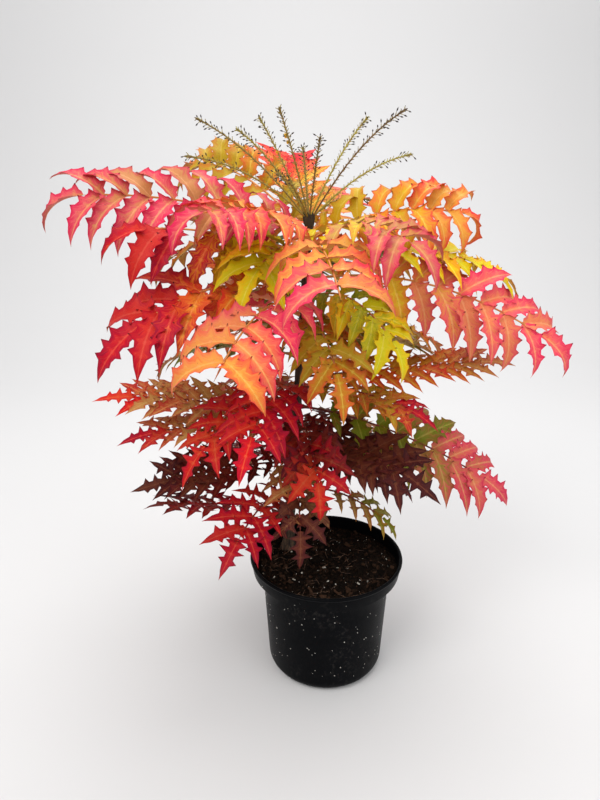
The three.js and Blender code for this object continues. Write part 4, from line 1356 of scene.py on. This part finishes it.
def make_rootlets():
    """Thin reddish roots and fibres that lie on the compost."""
    bm = bmesh.new()
    for number in range(ROOTLETS.count):
        draw = ROOTLETS.first + number * 2.3
        x, y = place_within(SOIL_RADIUS - ROOTLETS.from_edge, draw, draw + 0.4)
        way = 2 * pi * share(draw + 0.8)
        rings = []
        for ring in range(ROOTLETS.rings + 1):
            arch = ROOTLETS.arch * sin(pi * ring / ROOTLETS.rings)
            centre = Vector((x, y, soil_height(x, y) + ROOTLETS.over + arch))
            rings.append((centre, Vector((cos(way), sin(way), 0)), ROOTLETS.radius))
            way += swing(ROOTLETS.bend, draw + ring * 0.17)
            x += ROOTLETS.step * cos(way)
            y += ROOTLETS.step * sin(way)
        grow_limb(bm, rings, sides=4)
    fibre = varied_material("root fibre", (0.22, 0.14, 0.11), (0.43, 0.32, 0.23), 200.0, 0.8)
    piece = new_piece("rootlets", mesh_from(bm, smooth_under=60), fibre)


def make_specks():
    """Grains of perlite that dried on to the outside of the pot, apart from its step."""
    joined = Joined()
    for number in range(SPECKS.count):
        draw = SPECKS.first + number * 1.9
        z = mix(*SPECKS.heights, share(draw))
        if BODY_END - 1 < z < COLLAR_FOOT + SPECKS.past_step:
            continue
        out = heading(360 * share(draw + 0.5))
        if z < COLLAR_FOOT:
            up = (z - POT.foot_height) / (BODY_END - POT.foot_height)
            radius = mix(POT.body_foot, POT.body_top, up)
        else:
            up = (z - COLLAR_FOOT) / POT.collar_height
            radius = mix(POT.collar_foot, POT.rim - 1, up)
        size = mix(*SPECKS.sizes, share(draw + 0.9) ** 2)
        centre = out * (radius + SPECKS.out) + UP * z
        turn = Matrix((out, UP.cross(out), UP)).transposed()
        joined.add(*chunk(centre, (SPECKS.thick, size, size), turn, draw), Draw=share(draw + 1.5))
    material = crumb_material("dried grains", (0.55, 0.53, 0.50), (0.88, 0.87, 0.84), 500.0, 0.9)
    piece = new_piece("grains_on_pot", joined.mesh(smooth_under=30), material)


# The stage

# The floor ends and the backdrop's curve starts at front, in metres
STAGE = Values(near=-6, front=1.2, curve=1.5, top=6, width=14)
MIDDLE = (-0.02, 0.02, 0.38)
# Name, place, target, size, power and colour of each light
LIGHTS = (
    ("key", (-0.9, -1.1, 1.9), MIDDLE, 1.2, 22, (1.0, 0.985, 0.96)),
    ("fill", (1.4, -1.0, 1.0), MIDDLE, 1.4, 9, (1, 1, 1)),
    ("top", (0.2, 0.5, 2.1), MIDDLE, 1.6, 16, (1, 1, 1)),
    ("backdrop", (0, 0.9, 2.6), (0, 2.7, 1.2), 1.8, 23, (1, 1, 1)),
)
SKY = {"Color": (1, 1, 1, 1), "Strength": 0.68}
CAMERA = Values(lens=27, sensor=36, place=(-0.033, -0.660, 0.575), down=18.4)


def make_stage():
    """A pale floor that sweeps up into a backdrop."""
    front, curve = STAGE.front, STAGE.curve
    bent = [(front + curve * sin(radians(a)), curve * (1 - cos(radians(a)))) for a in ROUNDING]
    profile = [(STAGE.near, 0), (front, 0), *bent, (front + curve, STAGE.top)]
    bm = bmesh.new()
    verts = [bm.verts.new((-STAGE.width / 2, y, z)) for y, z in profile]
    edges = [bm.edges.new(pair) for pair in zip(verts, verts[1:])]
    made = bmesh.ops.extrude_edge_only(bm, edges=edges)["geom"]
    far = [part for part in made if isinstance(part, bmesh.types.BMVert)]
    bmesh.ops.translate(bm, vec=(STAGE.width, 0, 0), verts=far)
    floor = in_scene("studio_floor", mesh_from(bm, smooth_under=40))
    paper = Look("studio paper", 0.9)
    paper.put(linear(PAINTS["studio paper"]), paper.shader["Base Color"])
    floor.data.materials.append(paper.material)


def make_lights():
    for name, place, target, size, power, colour in LIGHTS:
        lamp = bpy.data.lights.new(name, "AREA")
        lamp.shape = "SQUARE"
        lamp.size = size
        lamp.energy = power
        lamp.color = colour
        holder = in_scene(name, lamp)
        holder.location = place
        holder.rotation_euler = (Vector(target) - Vector(place)).to_track_quat("-Z", "Y").to_euler()
    world = bpy.data.worlds.new("studio")
    bpy.context.scene.world = world
    world.use_nodes = True
    for name, value in SKY.items():
        world.node_tree.nodes["Background"].inputs[name].default_value = value


def make_camera():
    camera = bpy.data.cameras.new("camera")
    camera.lens = CAMERA.lens
    camera.sensor_width = CAMERA.sensor
    holder = in_scene("camera", camera)
    holder.location = CAMERA.place
    holder.rotation_euler = (radians(90 - CAMERA.down), 0, 0)
    bpy.context.scene.camera = holder


make_camera()
make_lights()
make_stage()
bpy.context.scene.view_settings.view_transform = "Standard"

fronds = [Frond(row, number) for number, row in enumerate(FRONDS, 1)]
make_all_leaflets(fronds)
rib_finish = rib_material()
for whorl in ("top", "upper", "middle", "low"):
    make_ribs(whorl, [frond for frond in fronds if frond.whorl == whorl], rib_finish)
make_stem(bark_material())
make_flower_head()
make_pot(plastic_material())
make_compost(compost_material())
make_crumbs()
make_rootlets()
make_specks()
